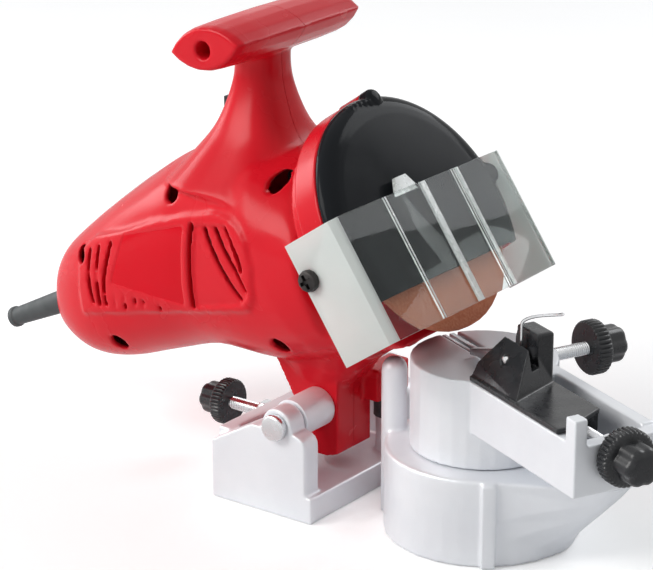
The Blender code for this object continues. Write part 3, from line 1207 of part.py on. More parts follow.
def motor_end_cap():
    """Moulded end of the motor with the rear bearing's seat and the two brush holders."""
    back = CAP_FRONT - END_CAP_THICK
    cap = rod("motor_end_cap", MOTOR_RADIUS, back, CAP_FRONT, HEAD, steps=ROUND_STEPS, finish="black",
              rig="head")
    boss_end = back - END_BOSS_LENGTH
    unite(cap, rod("end_boss", END_BOSS_RADIUS, boss_end, CAP_FRONT, HEAD))
    half = BRUSH_HOLDER_SIZE / 2
    reach = COMMUTATOR_RADIUS + BRUSH_SIZE / 2
    for side in (-1, 1):
        low, high = sorted((side * reach, side * BRUSH_HOLDER_REACH))
        unite(cap, box(f"holder_{side}", (low, -half, back), (high, half, BRUSH_N + half), HEAD))
    seat = BEARING_RADIUS + BORE_GAP
    room = BRUSH_SIZE / 2 + BORE_GAP
    span = BRUSH_HOLDER_REACH + CUT_OVERRUN
    cut(cap, rod("bearing_seat", seat, boss_end + END_CAP_THICK, CAP_FRONT + CUT_OVERRUN, HEAD),
        box("brush_room", (-span, -room, BRUSH_N - room), (span, room, BRUSH_N + room), HEAD))
    low = boss_end + END_CAP_THICK + TOUCH_GAP
    sleeve("rear_bearing", SHAFT_RADIUS + BORE_GAP, BEARING_RADIUS, low, low + BEARING_WIDTH, HEAD,
           finish="zinc", rig="head")
    start = COMMUTATOR_RADIUS + TOUCH_GAP
    half = BRUSH_SIZE / 2
    for side, place in ((-1, "near"), (1, "far")):
        low, high = sorted((side * start, side * (start + BRUSH_LENGTH)))
        box(f"brush_{place}", (low, -half, BRUSH_N - half), (high, half, BRUSH_N + half), HEAD, finish="carbon",
            rig="head", smooth=False)


# Housing

def body_place(along_share, up_share):
    return Vector((BODY_REAR + BODY_LENGTH * along_share, 0, BODY_LOW + BODY_HEIGHT * up_share))


def squared_ring(centre, half_up, half_across, squareness, steps):
    """Closed ring between a circle and a rectangle, in the plane of the two half sizes."""
    ring = []
    for step in range(steps):
        turn = math.tau * (step + RING_START_SHARE) / steps
        across = math.copysign(abs(math.cos(turn)) ** (2 / squareness), math.cos(turn))
        rise = math.copysign(abs(math.sin(turn)) ** (2 / squareness), math.sin(turn))
        ring.append(tuple(centre + half_across * across + half_up * rise))
    return ring


def body_loft(name, inset):
    stations = []
    for place in range(len(BODY_WIDTH_SHARES)):
        top = body_place(BODY_TOP_ALONG_SHARES[place], BODY_TOP_UP_SHARES[place])
        low = body_place(BODY_LOW_ALONG_SHARES[place], BODY_LOW_UP_SHARES[place])
        stations.append((top, low, BODY_HALF_WIDTH * BODY_WIDTH_SHARES[place]))
    if inset:
        share = INNER_START_SHARE * inset / WALL
        (top, low, width), (next_top, next_low, next_width) = stations[:2]
        stations[0] = (top.lerp(next_top, share), low.lerp(next_low, share),
                       width + (next_width - width) * share)
    rings = []
    for top, low, width in stations:
        half = (top - low) / 2
        half_up = half.normalized() * (half.length - inset)
        rings.append(squared_ring((top + low) / 2, half_up, Y_AXIS * (width - inset), BODY_SQUARENESS,
                                  BODY_STEPS))
    radius = THROAT_RADIUS - inset
    front = HOUSING_FRONT - (FRONT_WALL if inset == WALL else FRONT_WALL / 2)
    for back in (HOUSING_FRONT - THROAT_BACK, front):
        centre = DISC_CENTRE + N_AXIS * back
        rings.append(squared_ring(centre, UP_AXIS * radius, Y_AXIS * radius, 2, BODY_STEPS))
    return lofted(name, rings, WORLD, split=True)


def root_loft(name, inset):
    """Flare that blends the leg into the body."""
    rings = []
    for up, back, front, wide in zip(ROOT_HEIGHT_SHARES, ROOT_BACK_SHARES, ROOT_FRONT_SHARES,
                                     ROOT_WIDTH_SHARES):
        rear_x = ROOT_REAR - ROOT_LENGTH * back + inset
        front_x = ROOT_REAR + ROOT_LENGTH * front - inset
        centre = Vector(((rear_x + front_x) / 2, 0, ROOT_LOW_Z + ROOT_HEIGHT * up))
        rings.append(squared_ring(centre, Vector((-1, 0, 0)) * (front_x - rear_x) / 2,
                                  Y_AXIS * (LEG_HALF_WIDTH * wide - inset), ROOT_SQUARENESS, NECK_STEPS))
    return lofted(name, rings, WORLD, split=True)


def leg_solid(name, inset):
    half = LEG_HALF_WIDTH - inset
    radius = LEG_RADIUS - inset
    start = math.acos((LEG_REAR + inset - PIVOT_X) / radius)
    end = math.acos((LEG_FRONT - inset - PIVOT_X) / radius)
    outline = arc((PIVOT_X, PIVOT_Z), radius, -start, -end, SMALL_STEPS // 2)
    outline += [(LEG_FRONT - inset, LEG_FRONT_KNEE_Z), (LEG_TOP_FRONT - inset, LEG_TOP),
                (LEG_TOP_REAR + inset, LEG_TOP), (LEG_ROOT_REAR + inset, LEG_ROOT_REAR_Z),
                (LEG_REAR + inset, LEG_KNEE_Z)]
    return prism(name, outline, -half, half, SIDE)


def neck_loft(name, inset):
    rings = []
    for height, flare in zip(NECK_HEIGHT_SHARES, NECK_FLARE_SHARES):
        centre = Vector((NECK_X, 0, NECK_BASE_Z + NECK_HEIGHT * height))
        rings.append(squared_ring(centre, Vector((-1, 0, 0)) * (NECK_HALF_LENGTH * flare - inset),
                                  Y_AXIS * (NECK_HALF_WIDTH * flare - inset), BODY_SQUARENESS, NECK_STEPS))
    return lofted(name, rings, WORLD, split=True)


def grip_loft(name, size_share, half_length):
    """Lens-shaped bar across the top of the neck."""
    half_chord = GRIP_CHORD / 2 * size_share
    half_thick = GRIP_THICK / 2 * size_share
    radius = (half_chord ** 2 + half_thick ** 2) / (2 * half_thick)
    half_angle = math.asin(half_chord / radius)
    upper = arc((0, half_thick - radius), radius, math.radians(90) + half_angle, math.radians(90) - half_angle,
                GRIP_STEPS)
    lens = upper[:-1] + [(-x, -z) for x, z in upper[:-1]]
    rings = []
    for along, scale in zip(GRIP_ALONG_SHARES, GRIP_SCALE_SHARES):
        ring = []
        for x, z in lens:
            turned_x = x * math.cos(GRIP_TILT) - z * math.sin(GRIP_TILT)
            turned_z = x * math.sin(GRIP_TILT) + z * math.cos(GRIP_TILT)
            ring.append((GRIP_X + turned_x * scale, half_length * along, GRIP_Z + turned_z * scale))
        rings.append(ring)
    return lofted(name, rings, WORLD, split=True)


def lip_solid(name):
    back = HOUSING_FRONT - LIP_DEPTH
    profile = [(0, back - LIP_TAPER), (THROAT_RADIUS - WALL / 2, back - LIP_TAPER), (LIP_RADIUS, back),
               (LIP_RADIUS, HOUSING_FRONT), (0, HOUSING_FRONT)]
    return turned(name, profile, HEAD, steps=ROUND_STEPS + ROUND_STEPS // 2)


def vise_relief(name, inset):
    """Cutters that keep the swung housing clear of the vise and of the drum's pillar."""
    reach = BODY_HALF_WIDTH + 2 * CUT_OVERRUN
    start = (RELIEF_X - inset, RELIEF_Z + inset)
    end = (start[0] + RELIEF_LENGTH * math.cos(SWING), start[1] + RELIEF_LENGTH * math.sin(SWING))
    below = [(start[0], BODY_LOW), (end[0], BODY_LOW)]
    under = prism(name + "_under_vise", below + [end, start], -reach, reach, SIDE)
    x, y = pillar_place()
    side = PILLAR_RELIEF_SIDE + inset
    pocket = box(name + "_over_pillar", (x - PILLAR_RELIEF_REAR - inset, y - side, BODY_LOW),
                 (x + PILLAR_RELIEF_FRONT + inset, y + side,
                  REAR_PILLAR_HEIGHT + PILLAR_RELIEF_RISE + inset), WORLD)
    return under, pocket


def housing_form(name, inset, grip_share, lip=False):
    """The housing's whole form, drawn in from its outer surface by the inset."""
    form = body_loft(name, inset)
    if lip:
        unite(form, lip_solid(name + "_lip"))
    unite(form, root_loft(name + "_root", inset), leg_solid(name + "_leg", inset),
          neck_loft(name + "_neck", inset), grip_loft(name + "_grip", grip_share, GRIP_HALF_LENGTH - inset))
    cut(form, *vise_relief(name, inset))
    return form


def screw_places():
    places = [body_place(along, up) for along, up in zip(SCREW_ALONG_SHARES, SCREW_UP_SHARES)]
    places.insert(1, head_point(0, THROAT_SCREW_UP, THROAT_SCREW_BACK))
    return places + [Vector((GRIP_SCREW_X, 0, GRIP_Z - GRIP_SCREW_SINK))]


def side_frame(place):
    return frame_at((place.x, 0, place.z), Y_AXIS, (1, 0, 0))


def housing_fittings(middle):
    """Everything moulded inside the housing, trimmed to the middle of its wall."""
    reach = BODY_HALF_WIDTH + CUT_OVERRUN
    fittings = rod("pivot_boss", PIVOT_BOSS_RADIUS, -LEG_HALF_WIDTH, LEG_HALF_WIDTH, PIVOT)
    parts = [rod(f"screw_boss_{step}", BOSS_RADIUS, -reach, reach, side_frame(place))
             for step, place in enumerate(screw_places())]
    for step, back in enumerate((MOTOR_FRONT - CRADLE_INSET, MOTOR_BACK + CRADLE_INSET + CRADLE_THICK)):
        parts.append(box(f"cradle_{step}", (-CRADLE_REACH, -CRADLE_REACH, back - CRADLE_THICK),
                         (CRADLE_REACH, CRADLE_REACH, back), HEAD))
    for x, y in board_posts():
        frame = frame_at((x, y, 0), Z_AXIS, (1, 0, 0))
        post = f"board_post_{x:.3f}_{y:.3f}"
        parts.append(rod(post, BOARD_POST_RADIUS, 0, BOARD_CENTRE_Z - TOUCH_GAP, frame))
    parts.append(box("saddle", (SADDLE_X - SADDLE_HALF_LENGTH, -SADDLE_HALF_WIDTH, 0),
                     (SADDLE_X + SADDLE_HALF_LENGTH, SADDLE_HALF_WIDTH, SADDLE_TOP), WORLD))
    unite(fittings, *parts)
    keep(fittings, middle)
    return fittings


def board_posts():
    long = BOARD_LENGTH / 2 * BOARD_POST_SHARE
    wide = BOARD_HALF_WIDTH * BOARD_POST_SHARE
    return [(BOARD_CENTRE_X + x, y) for x in (-long, long) for y in (-wide, wide)]


def sunk_panel(name, along_shares, up_shares, core):
    """Cutter for a shallow panel that follows the body's side."""
    corners = [body_place(along, up) for along, up in zip(along_shares, up_shares)]
    outline = [(corner.x, corner.z) for corner in corners]
    panel = prism(name, outline, -BODY_HALF_WIDTH - CUT_OVERRUN, BODY_HALF_WIDTH + CUT_OVERRUN, SIDE)
    cut(panel, core)
    return panel


def slots(name, count, pitch, top, low):
    """Cutters for a row of slots that lean between two places on the side view."""
    cutters = []
    lean = (low - top).normalized()
    across = Vector((-lean.z, 0, lean.x))
    for step in range(count):
        start = top + Vector((pitch * step, 0, 0))
        end = low + Vector((pitch * step, 0, 0))
        corners = [start + across * VENT_WIDTH / 2, end + across * VENT_WIDTH / 2,
                   end - across * VENT_WIDTH / 2, start - across * VENT_WIDTH / 2]
        outline = [(corner.x, corner.z) for corner in corners]
        reach = BODY_HALF_WIDTH + CUT_OVERRUN
        for side, (near, far) in enumerate(((-reach, -VENT_INSIDE), (VENT_INSIDE, reach))):
            cutters.append(prism(f"{name}_{step}_{side}", outline, near, far, SIDE))
    return cutters


def boot_frame():
    along = Vector((math.cos(BOOT_ANGLE), 0, math.sin(BOOT_ANGLE)))
    return frame_at((BOOT_ROOT_X, 0, BOOT_ROOT_Z), along, Y_AXIS)


def motor_room():
    """Cutter for the motor and its nose, with the fit round them."""
    nose = MOTOR_NOSE_RADIUS + BORE_GAP
    barrel = MOTOR_RADIUS + BORE_GAP
    boss = END_BOSS_RADIUS + BORE_GAP
    back = CAP_FRONT - END_CAP_THICK - BORE_GAP
    profile = [(0, back - END_BOSS_LENGTH), (boss, back - END_BOSS_LENGTH), (boss, back), (barrel, back),
               (barrel, MOTOR_FRONT + BORE_GAP), (nose, MOTOR_FRONT + BORE_GAP),
               (nose, HOUSING_FRONT + CUT_OVERRUN), (0, HOUSING_FRONT + CUT_OVERRUN)]
    return turned("motor_room", profile, HEAD)


def housing_shell():
    shell = housing_form("shell", 0, 1, lip=True)
    unite(shell, box("leg_lug", (LUG_REAR, LEG_HALF_WIDTH / 2, LUG_LOW),
                     (LUG_FRONT, LEG_HALF_WIDTH + LUG_WIDTH, LUG_HIGH), WORLD))
    fittings = housing_fittings(housing_form("middle", WALL / 2, (1 + GRIP_HOLLOW_SHARE) / 2))
    core = body_loft("panel_core", PANEL_DEPTH)
    cut(shell, housing_form("inside", WALL, GRIP_HOLLOW_SHARE))
    unite(shell, fittings)
    cut(shell, motor_room())
    cut(shell, sunk_panel("side_panel", PANEL_ALONG_SHARES, PANEL_UP_SHARES, core),
        sunk_panel("vent_panel", VENT_PANEL_ALONG_SHARES, VENT_PANEL_UP_SHARES, core))
    cut(shell, *slots("front_vent", VENT_COUNT, VENT_PITCH, body_place(VENT_TOP_ALONG_SHARE, VENT_TOP_UP_SHARE),
                      body_place(VENT_LOW_ALONG_SHARE, VENT_LOW_UP_SHARE)))
    cut(shell, *slots("rear_vent", REAR_VENT_COUNT, REAR_VENT_PITCH,
                      body_place(REAR_VENT_TOP_ALONG_SHARE, REAR_VENT_TOP_UP_SHARE),
                      body_place(REAR_VENT_LOW_ALONG_SHARE, REAR_VENT_LOW_UP_SHARE)))
    for step, place in enumerate(screw_places()):
        frame = side_frame(place)
        cut(shell, rod(f"screw_recess_{step}", SCREW_RECESS_RADIUS, -BODY_HALF_WIDTH - CUT_OVERRUN,
                       -SCREW_RECESS_FLOOR, frame),
            rod(f"screw_hole_{step}", SCREW_SHANK_RADIUS + BORE_GAP, -SCREW_RECESS_FLOOR - CUT_OVERRUN,
                SCREW_DEPTH + TOUCH_GAP, frame))
    leg_end = LEG_HALF_WIDTH + CUT_OVERRUN
    cut(shell, rod("leg_bore", PIN_RADIUS + BORE_GAP, -leg_end, leg_end, PIVOT))
    for place, frame in enumerate(lug_frames()):
        cut(shell, rod(f"lip_notch_{place}", GUARD_SCREW_HEAD_RADIUS + BORE_GAP,
                       HOUSING_FRONT - 2 * LIP_DEPTH, HOUSING_FRONT + CUT_OVERRUN, frame))
    window_high = SWITCH_HALF_HEIGHT + BORE_GAP
    window_wide = SWITCH_HALF_WIDTH + BORE_GAP
    pocket_high = window_high + SWITCH_BEZEL
    pocket_wide = window_wide + SWITCH_BEZEL
    outer_x = SWITCH_FACE_X - SWITCH_DEPTH
    cut(shell, box("switch_pocket", (outer_x, -pocket_wide, SWITCH_Z - pocket_high),
                   (SWITCH_FACE_X + TOUCH_GAP, pocket_wide, SWITCH_Z + pocket_high), WORLD),
        box("switch_window", (outer_x, -window_wide, SWITCH_Z - window_high),
            (SWITCH_FACE_X + SWITCH_DEPTH + TOUCH_GAP, window_wide, SWITCH_Z + window_high), WORLD))
    cut(shell, rod("boot_hole", BOOT_ROOT_RADIUS + BORE_GAP, BOOT_COLLAR_THICK, BOOT_LENGTH, boot_frame()),
        box("cord_groove", (SADDLE_X - SADDLE_HALF_LENGTH - CUT_OVERRUN / 2, -SADDLE_GROOVE_HALF_WIDTH,
                            SADDLE_TOP - SADDLE_GROOVE_DEPTH),
            (SADDLE_X + SADDLE_HALF_LENGTH + CUT_OVERRUN / 2, SADDLE_GROOVE_HALF_WIDTH,
             SADDLE_TOP + CUT_OVERRUN), WORLD))
    return shell


def housing_halves(shell):
    reach = BODY_LENGTH
    for name, near, far in (("housing_left", -reach, -TOUCH_GAP / 2), ("housing_right", TOUCH_GAP / 2, reach)):
        half = box(name, (-reach, near, 0), (reach, far, 2 * reach), WORLD, finish="red", rig="head")
        keep(half, shell)


def housing_screws():
    for step, place in enumerate(screw_places()):
        seat = frame_at((place.x, -SCREW_RECESS_FLOOR - TOUCH_GAP, place.z), -Y_AXIS, (1, 0, 0))
        pan_screw(f"housing_screw_{step + 1}", SCREW_SHANK_RADIUS, SCREW_RECESS_FLOOR + SCREW_DEPTH,
                  SCREW_HEAD_RADIUS, SCREW_HEAD_HEIGHT, seat, "head")


# Electrics

def switch():
    """Rocker switch in the back of the neck."""
    bezel_high = SWITCH_HALF_HEIGHT + SWITCH_BEZEL
    bezel_wide = SWITCH_HALF_WIDTH + SWITCH_BEZEL
    body = box("switch_body", (SWITCH_FACE_X, -SWITCH_HALF_WIDTH, SWITCH_Z - SWITCH_HALF_HEIGHT),
               (SWITCH_FACE_X + SWITCH_DEPTH, SWITCH_HALF_WIDTH, SWITCH_Z + SWITCH_HALF_HEIGHT), WORLD,
               finish="black", rig="head", smooth=False)
    unite(body, box("bezel", (SWITCH_FACE_X - SWITCH_BEZEL_THICK, -bezel_wide, SWITCH_Z - bezel_high),
                    (SWITCH_FACE_X, bezel_wide, SWITCH_Z + bezel_high), WORLD))
    frame = rocker_frame()
    well_half = ROCKER_HALF_WIDTH + ROCKER_PLAY
    well_radius = ROCKER_RADIUS + ROCKER_PLAY
    cut(body, rod("rocker_well", well_radius, -well_half, well_half, frame),
        box("rocker_mouth", (-ROCKER_SINK - SWITCH_BEZEL_THICK - CUT_OVERRUN, -well_radius, -well_half),
            (0, well_radius, well_half), frame))
    outline = arc((0, 0), ROCKER_RADIUS, -ROCKER_BACK_ANGLE, ROCKER_BACK_ANGLE, SMALL_STEPS)
    outline += [(-ROCKER_PROUD, ROCKER_TIP), (-ROCKER_DIP, 0), (-ROCKER_PROUD, -ROCKER_TIP)]
    prism("switch_rocker", outline, -ROCKER_HALF_WIDTH, ROCKER_HALF_WIDTH, frame, finish="black", rig="rocker")


def rocker_frame():
    return frame_at((SWITCH_FACE_X + ROCKER_SINK, 0, SWITCH_Z), -Y_AXIS, (1, 0, 0))


def rectifier():
    """Board that turns the mains into direct current for the motor, and its terminals."""
    half = BOARD_LENGTH / 2
    top = BOARD_CENTRE_Z + BOARD_THICK
    box("rectifier_board", (BOARD_CENTRE_X - half, -BOARD_HALF_WIDTH, BOARD_CENTRE_Z),
        (BOARD_CENTRE_X + half, BOARD_HALF_WIDTH, top), WORLD, finish="board", rig="head", smooth=False)
    low = top + TOUCH_GAP
    start = BOARD_CENTRE_X - half + BOARD_THICK
    box("terminal_block", (start, -TERMINAL_HALF_WIDTH, low),
        (start + TERMINAL_LENGTH, TERMINAL_HALF_WIDTH, low + TERMINAL_HEIGHT), WORLD, finish="black",
        rig="head", smooth=False)


def cord_entry():
    """Rubber boot where the cord comes in, and the bar that clamps the cord."""
    collar = BOOT_COLLAR_THICK - TOUCH_GAP
    ring = BOOT_TIP_RADIUS + BOOT_RING
    end = BOOT_LENGTH
    profile = [(BOOT_BORE, 0), (BOOT_COLLAR_RADIUS, 0), (BOOT_COLLAR_RADIUS, collar),
               (BOOT_ROOT_RADIUS, collar), (BOOT_ROOT_RADIUS, collar + BOOT_COLLAR_RADIUS * 2),
               (BOOT_TIP_RADIUS, end - BOOT_RING_LENGTH), (ring, end - BOOT_RING_LENGTH + BOOT_RING),
               (ring, end), (BOOT_BORE, end)]
    turned("cord_boot", profile, boot_frame(), steps=SMALL_STEPS + 4, finish="rubber", rig="head")
    box("cord_clamp", (SADDLE_X - SADDLE_HALF_LENGTH, -SADDLE_HALF_WIDTH, SADDLE_TOP + TOUCH_GAP),
        (SADDLE_X + SADDLE_HALF_LENGTH, SADDLE_HALF_WIDTH, SADDLE_TOP + TOUCH_GAP + CLAMP_BAR_THICK), WORLD,
        finish="black", rig="head", smooth=False)


def add_rigs():
    """One empty for each body, on its joint's axis."""
    add_rig("base", WORLD)
    add_rig("head", Matrix.Translation((PIVOT_X, 0, PIVOT_Z)), "base")
    add_rig("spin", HEAD, "head")
    add_rig("shield", shield_side_frame(1), "head")
    add_rig("rocker", rocker_frame(), "head")
    add_rig("vise", VISE, "base")
    add_rig("lock", VISE, "vise")
    add_rig("depth", depth_frame(), "base")
    add_rig("depth_turn", depth_frame(), "depth")
    add_rig("clamp", clamp_frame(), "vise")
    add_rig("clamp_turn", clamp_frame(), "clamp")
    add_rig("adjust", adjust_frame(), "vise")
    add_rig("carriage", adjust_frame(), "vise")
    add_rig("pawl", pawl_frame(), "carriage")


for old in list(bpy.data.objects):
    bpy.data.objects.remove(old, do_unlink=True)

add_rigs()
base_casting()
rest_buffer()
pivot_pin()
spring_sleeve()
return_spring()
depth_stop()
vise_body()
chain_clamp()
turntable_lock()
chain_stop_screw()
stop_carriage()
stop_pawl()
guard_back()
guard_cover()
guard_screws()
eye_shield()
shaft_shoulder = disc_stack()
motor_can()
magnet("magnet_upper", math.radians(90))
magnet("magnet_lower", math.radians(270))
armature()
motor_shaft(shaft_shoulder)
motor_end_cap()
housing_halves(housing_shell())
housing_screws()
switch()
rectifier()
cord_entry()
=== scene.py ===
"""The looks of an electric chain sharpener, in metres, round its fixed frame of solids."""
import math

import bpy
from mathutils import Matrix, Vector
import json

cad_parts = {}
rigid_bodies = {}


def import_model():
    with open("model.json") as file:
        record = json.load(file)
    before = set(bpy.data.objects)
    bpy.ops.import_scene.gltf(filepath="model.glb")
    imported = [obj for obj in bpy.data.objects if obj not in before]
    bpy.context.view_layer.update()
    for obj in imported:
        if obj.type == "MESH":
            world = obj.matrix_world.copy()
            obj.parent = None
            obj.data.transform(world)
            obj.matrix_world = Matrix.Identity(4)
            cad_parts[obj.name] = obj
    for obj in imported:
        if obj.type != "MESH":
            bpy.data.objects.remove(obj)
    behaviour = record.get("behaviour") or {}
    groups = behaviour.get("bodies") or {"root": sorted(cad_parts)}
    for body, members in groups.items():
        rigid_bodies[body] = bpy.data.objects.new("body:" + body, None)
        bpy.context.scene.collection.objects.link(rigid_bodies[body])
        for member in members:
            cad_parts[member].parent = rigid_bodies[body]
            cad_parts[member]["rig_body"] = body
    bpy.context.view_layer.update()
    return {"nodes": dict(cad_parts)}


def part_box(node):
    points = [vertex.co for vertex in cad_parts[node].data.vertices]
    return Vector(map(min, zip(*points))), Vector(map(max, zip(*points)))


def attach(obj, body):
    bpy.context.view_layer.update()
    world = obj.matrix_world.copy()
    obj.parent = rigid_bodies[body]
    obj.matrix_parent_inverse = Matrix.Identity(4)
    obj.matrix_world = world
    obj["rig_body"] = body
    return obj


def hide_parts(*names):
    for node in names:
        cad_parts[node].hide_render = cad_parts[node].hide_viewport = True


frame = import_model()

# Bench top, backdrop, studio light and the camera.
# The bench is one pale sheet. A large soft box stands at the left of the camera, a small one
# behind, and white surroundings fill the shadows.
BENCH_SIZE = 8
BENCH_SINK = 0.0004
BENCH_COLOUR = (0.93, 0.935, 0.94, 1)
BENCH_TINT = (0.90, 0.905, 0.915, 1)
BENCH_LIFT = 0.24
ROOM_FILL = 0.30
CAMERA_PLACE = (0.6974, -0.9376, 0.5063)
CAMERA_TARGET = (-0.00011, 0.00055, 0.09366)
CAMERA_LENS = 153.96
LAMPS = (
    ("key_light", (-0.75, -1.15, 1.0), 0.9, 19.0, (1.0, 0.985, 0.96)),
    ("side_light", (-1.25, -0.15, 0.55), 0.55, 5.0, (0.97, 0.985, 1.0)),
    ("back_light", (0.35, 1.15, 0.95), 0.7, 7.0, (0.96, 0.98, 1.0)),
)


def new_group(name, inputs, outputs):
    """An empty shader group with its sockets, and the nodes that stand for its two ends."""
    tree = bpy.data.node_groups.new(name, "ShaderNodeTree")
    for label, kind in inputs:
        tree.interface.new_socket(name=label, in_out="INPUT", socket_type=kind)
    for label, kind in outputs:
        tree.interface.new_socket(name=label, in_out="OUTPUT", socket_type=kind)
    return tree, tree.nodes.new("NodeGroupInput"), tree.nodes.new("NodeGroupOutput")


def surface_group():
    """Colour and roughness that wander in patches, and a fine grain in the normal."""
    tree, start, end = new_group(
        "surface",
        [("Colour", "NodeSocketColor"), ("Patch Colour", "NodeSocketColor"), ("Patch Scale", "NodeSocketFloat"),
         ("Smoothest", "NodeSocketFloat"), ("Roughest", "NodeSocketFloat"), ("Grain Scale", "NodeSocketFloat"),
         ("Grain Depth", "NodeSocketFloat"), ("Stretch", "NodeSocketVector")],
        [("Colour", "NodeSocketColor"), ("Roughness", "NodeSocketFloat"), ("Normal", "NodeSocketVector")])
    link = tree.links.new
    place = tree.nodes.new("ShaderNodeTexCoord")
    drawn = tree.nodes.new("ShaderNodeVectorMath")
    drawn.operation = "MULTIPLY"
    link(place.outputs["Object"], drawn.inputs[0])
    link(start.outputs["Stretch"], drawn.inputs[1])
    patches = tree.nodes.new("ShaderNodeTexNoise")
    patches.inputs["Detail"].default_value = 5
    link(drawn.outputs[0], patches.inputs["Vector"])
    link(start.outputs["Patch Scale"], patches.inputs["Scale"])
    contrast = tree.nodes.new("ShaderNodeMapRange")
    contrast.inputs["From Min"].default_value = 0.36
    contrast.inputs["From Max"].default_value = 0.64
    link(patches.outputs["Fac"], contrast.inputs["Value"])
    blend = tree.nodes.new("ShaderNodeMix")
    blend.data_type = "RGBA"
    link(contrast.outputs["Result"], blend.inputs["Factor"])
    link(start.outputs["Colour"], blend.inputs["A"])
    link(start.outputs["Patch Colour"], blend.inputs["B"])
    link(blend.outputs["Result"], end.inputs["Colour"])
    wipes = tree.nodes.new("ShaderNodeTexNoise")
    wipes.inputs["Detail"].default_value = 3
    wipe_scale = tree.nodes.new("ShaderNodeMath")
    wipe_scale.operation = "MULTIPLY"
    wipe_scale.inputs[1].default_value = 3.7
    link(start.outputs["Patch Scale"], wipe_scale.inputs[0])
    link(drawn.outputs[0], wipes.inputs["Vector"])
    link(wipe_scale.outputs[0], wipes.inputs["Scale"])
    sheen = tree.nodes.new("ShaderNodeMapRange")
    sheen.inputs["From Min"].default_value = 0.3
    sheen.inputs["From Max"].default_value = 0.7
    link(wipes.outputs["Fac"], sheen.inputs["Value"])
    link(start.outputs["Smoothest"], sheen.inputs["To Min"])
    link(start.outputs["Roughest"], sheen.inputs["To Max"])
    link(sheen.outputs["Result"], end.inputs["Roughness"])
    grain = tree.nodes.new("ShaderNodeTexNoise")
    grain.inputs["Detail"].default_value = 2
    link(drawn.outputs[0], grain.inputs["Vector"])
    link(start.outputs["Grain Scale"], grain.inputs["Scale"])
    bump = tree.nodes.new("ShaderNodeBump")
    link(start.outputs["Grain Depth"], bump.inputs["Distance"])
    link(grain.outputs["Fac"], bump.inputs["Height"])
    link(bump.outputs["Normal"], end.inputs["Normal"])
    return tree


SURFACE = surface_group()


def finish(name, colour, patch_colour, roughness, patch_scale=22, grain=(1400, 0.00001), stretch=(1, 1, 1),
           plain=None):
    """A material whose surface comes from the group; plain holds values set on the shader's own sockets."""
    material = bpy.data.materials.new(name)
    material.use_nodes = True
    tree = material.node_tree
    shader = tree.nodes["Principled BSDF"]
    look = tree.nodes.new("ShaderNodeGroup")
    look.node_tree = SURFACE
    values = {"Colour": (*colour, 1), "Patch Colour": (*patch_colour, 1), "Patch Scale": patch_scale,
              "Smoothest": roughness[0], "Roughest": roughness[1], "Grain Scale": grain[0],
              "Grain Depth": grain[1], "Stretch": stretch}
    for label, value in values.items():
        look.inputs[label].default_value = value
    tree.links.new(look.outputs["Colour"], shader.inputs["Base Color"])
    tree.links.new(look.outputs["Roughness"], shader.inputs["Roughness"])
    tree.links.new(look.outputs["Normal"], shader.inputs["Normal"])
    for label, value in (plain or {}).items():
        shader.inputs[label].default_value = value
    return material


def work_on(*pieces):
    """Selects these pieces and nothing else, the first one active."""
    bpy.ops.object.select_all(action="DESELECT")
    for piece in pieces:
        piece.select_set(True)
    bpy.context.view_layer.objects.active = pieces[0]


bpy.ops.object.select_all(action="DESELECT")
bpy.ops.mesh.primitive_plane_add(size=BENCH_SIZE, location=(0, 0, 0))
bench = bpy.context.object
bench.name = "bench"
bpy.ops.transform.translate(value=(0, 0, -BENCH_SINK))
bpy.ops.object.transform_apply(location=True)
bench_finish = finish("bench_sheet", BENCH_COLOUR[:3], BENCH_TINT[:3], (0.75, 0.9), 3, (90, 0.0002))
bench_nodes = bench_finish.node_tree
bench_light = bench_nodes.nodes.new("ShaderNodeEmission")
bench_ray = bench_nodes.nodes.new("ShaderNodeLightPath")
bench_lift = bench_nodes.nodes.new("ShaderNodeMath")
bench_lift.operation = "MULTIPLY"
bench_lift.inputs[1].default_value = BENCH_LIFT
bench_sum = bench_nodes.nodes.new("ShaderNodeAddShader")
bench_nodes.links.new(bench_ray.outputs["Is Camera Ray"], bench_lift.inputs[0])
bench_nodes.links.new(bench_lift.outputs[0], bench_light.inputs["Strength"])
bench_nodes.links.new(bench_nodes.nodes["Principled BSDF"].outputs[0], bench_sum.inputs[0])
bench_nodes.links.new(bench_light.outputs[0], bench_sum.inputs[1])
bench_nodes.links.new(bench_sum.outputs[0], bench_nodes.nodes["Material Output"].inputs["Surface"])
bench.data.materials.append(bench_finish)

room = bpy.data.worlds.new("room")
bpy.context.scene.world = room
room.use_nodes = True
room_nodes = room.node_tree
room_light = room_nodes.nodes["Background"]
room_ray = room_nodes.nodes.new("ShaderNodeLightPath")
seen = room_nodes.nodes.new("ShaderNodeMath")
seen.operation = "MAXIMUM"
seen_through = room_nodes.nodes.new("ShaderNodeMath")
seen_through.operation = "MAXIMUM"
room_level = room_nodes.nodes.new("ShaderNodeMapRange")
room_level.inputs["To Min"].default_value = ROOM_FILL
room_nodes.links.new(room_ray.outputs["Is Camera Ray"], seen.inputs[0])
room_nodes.links.new(room_ray.outputs["Is Glossy Ray"], seen.inputs[1])
room_nodes.links.new(seen.outputs[0], seen_through.inputs[0])
room_nodes.links.new(room_ray.outputs["Is Transmission Ray"], seen_through.inputs[1])
room_nodes.links.new(seen_through.outputs[0], room_level.inputs["Value"])
room_nodes.links.new(room_level.outputs["Result"], room_light.inputs["Strength"])
room_light.inputs["Color"].default_value = (1, 1, 1, 1)

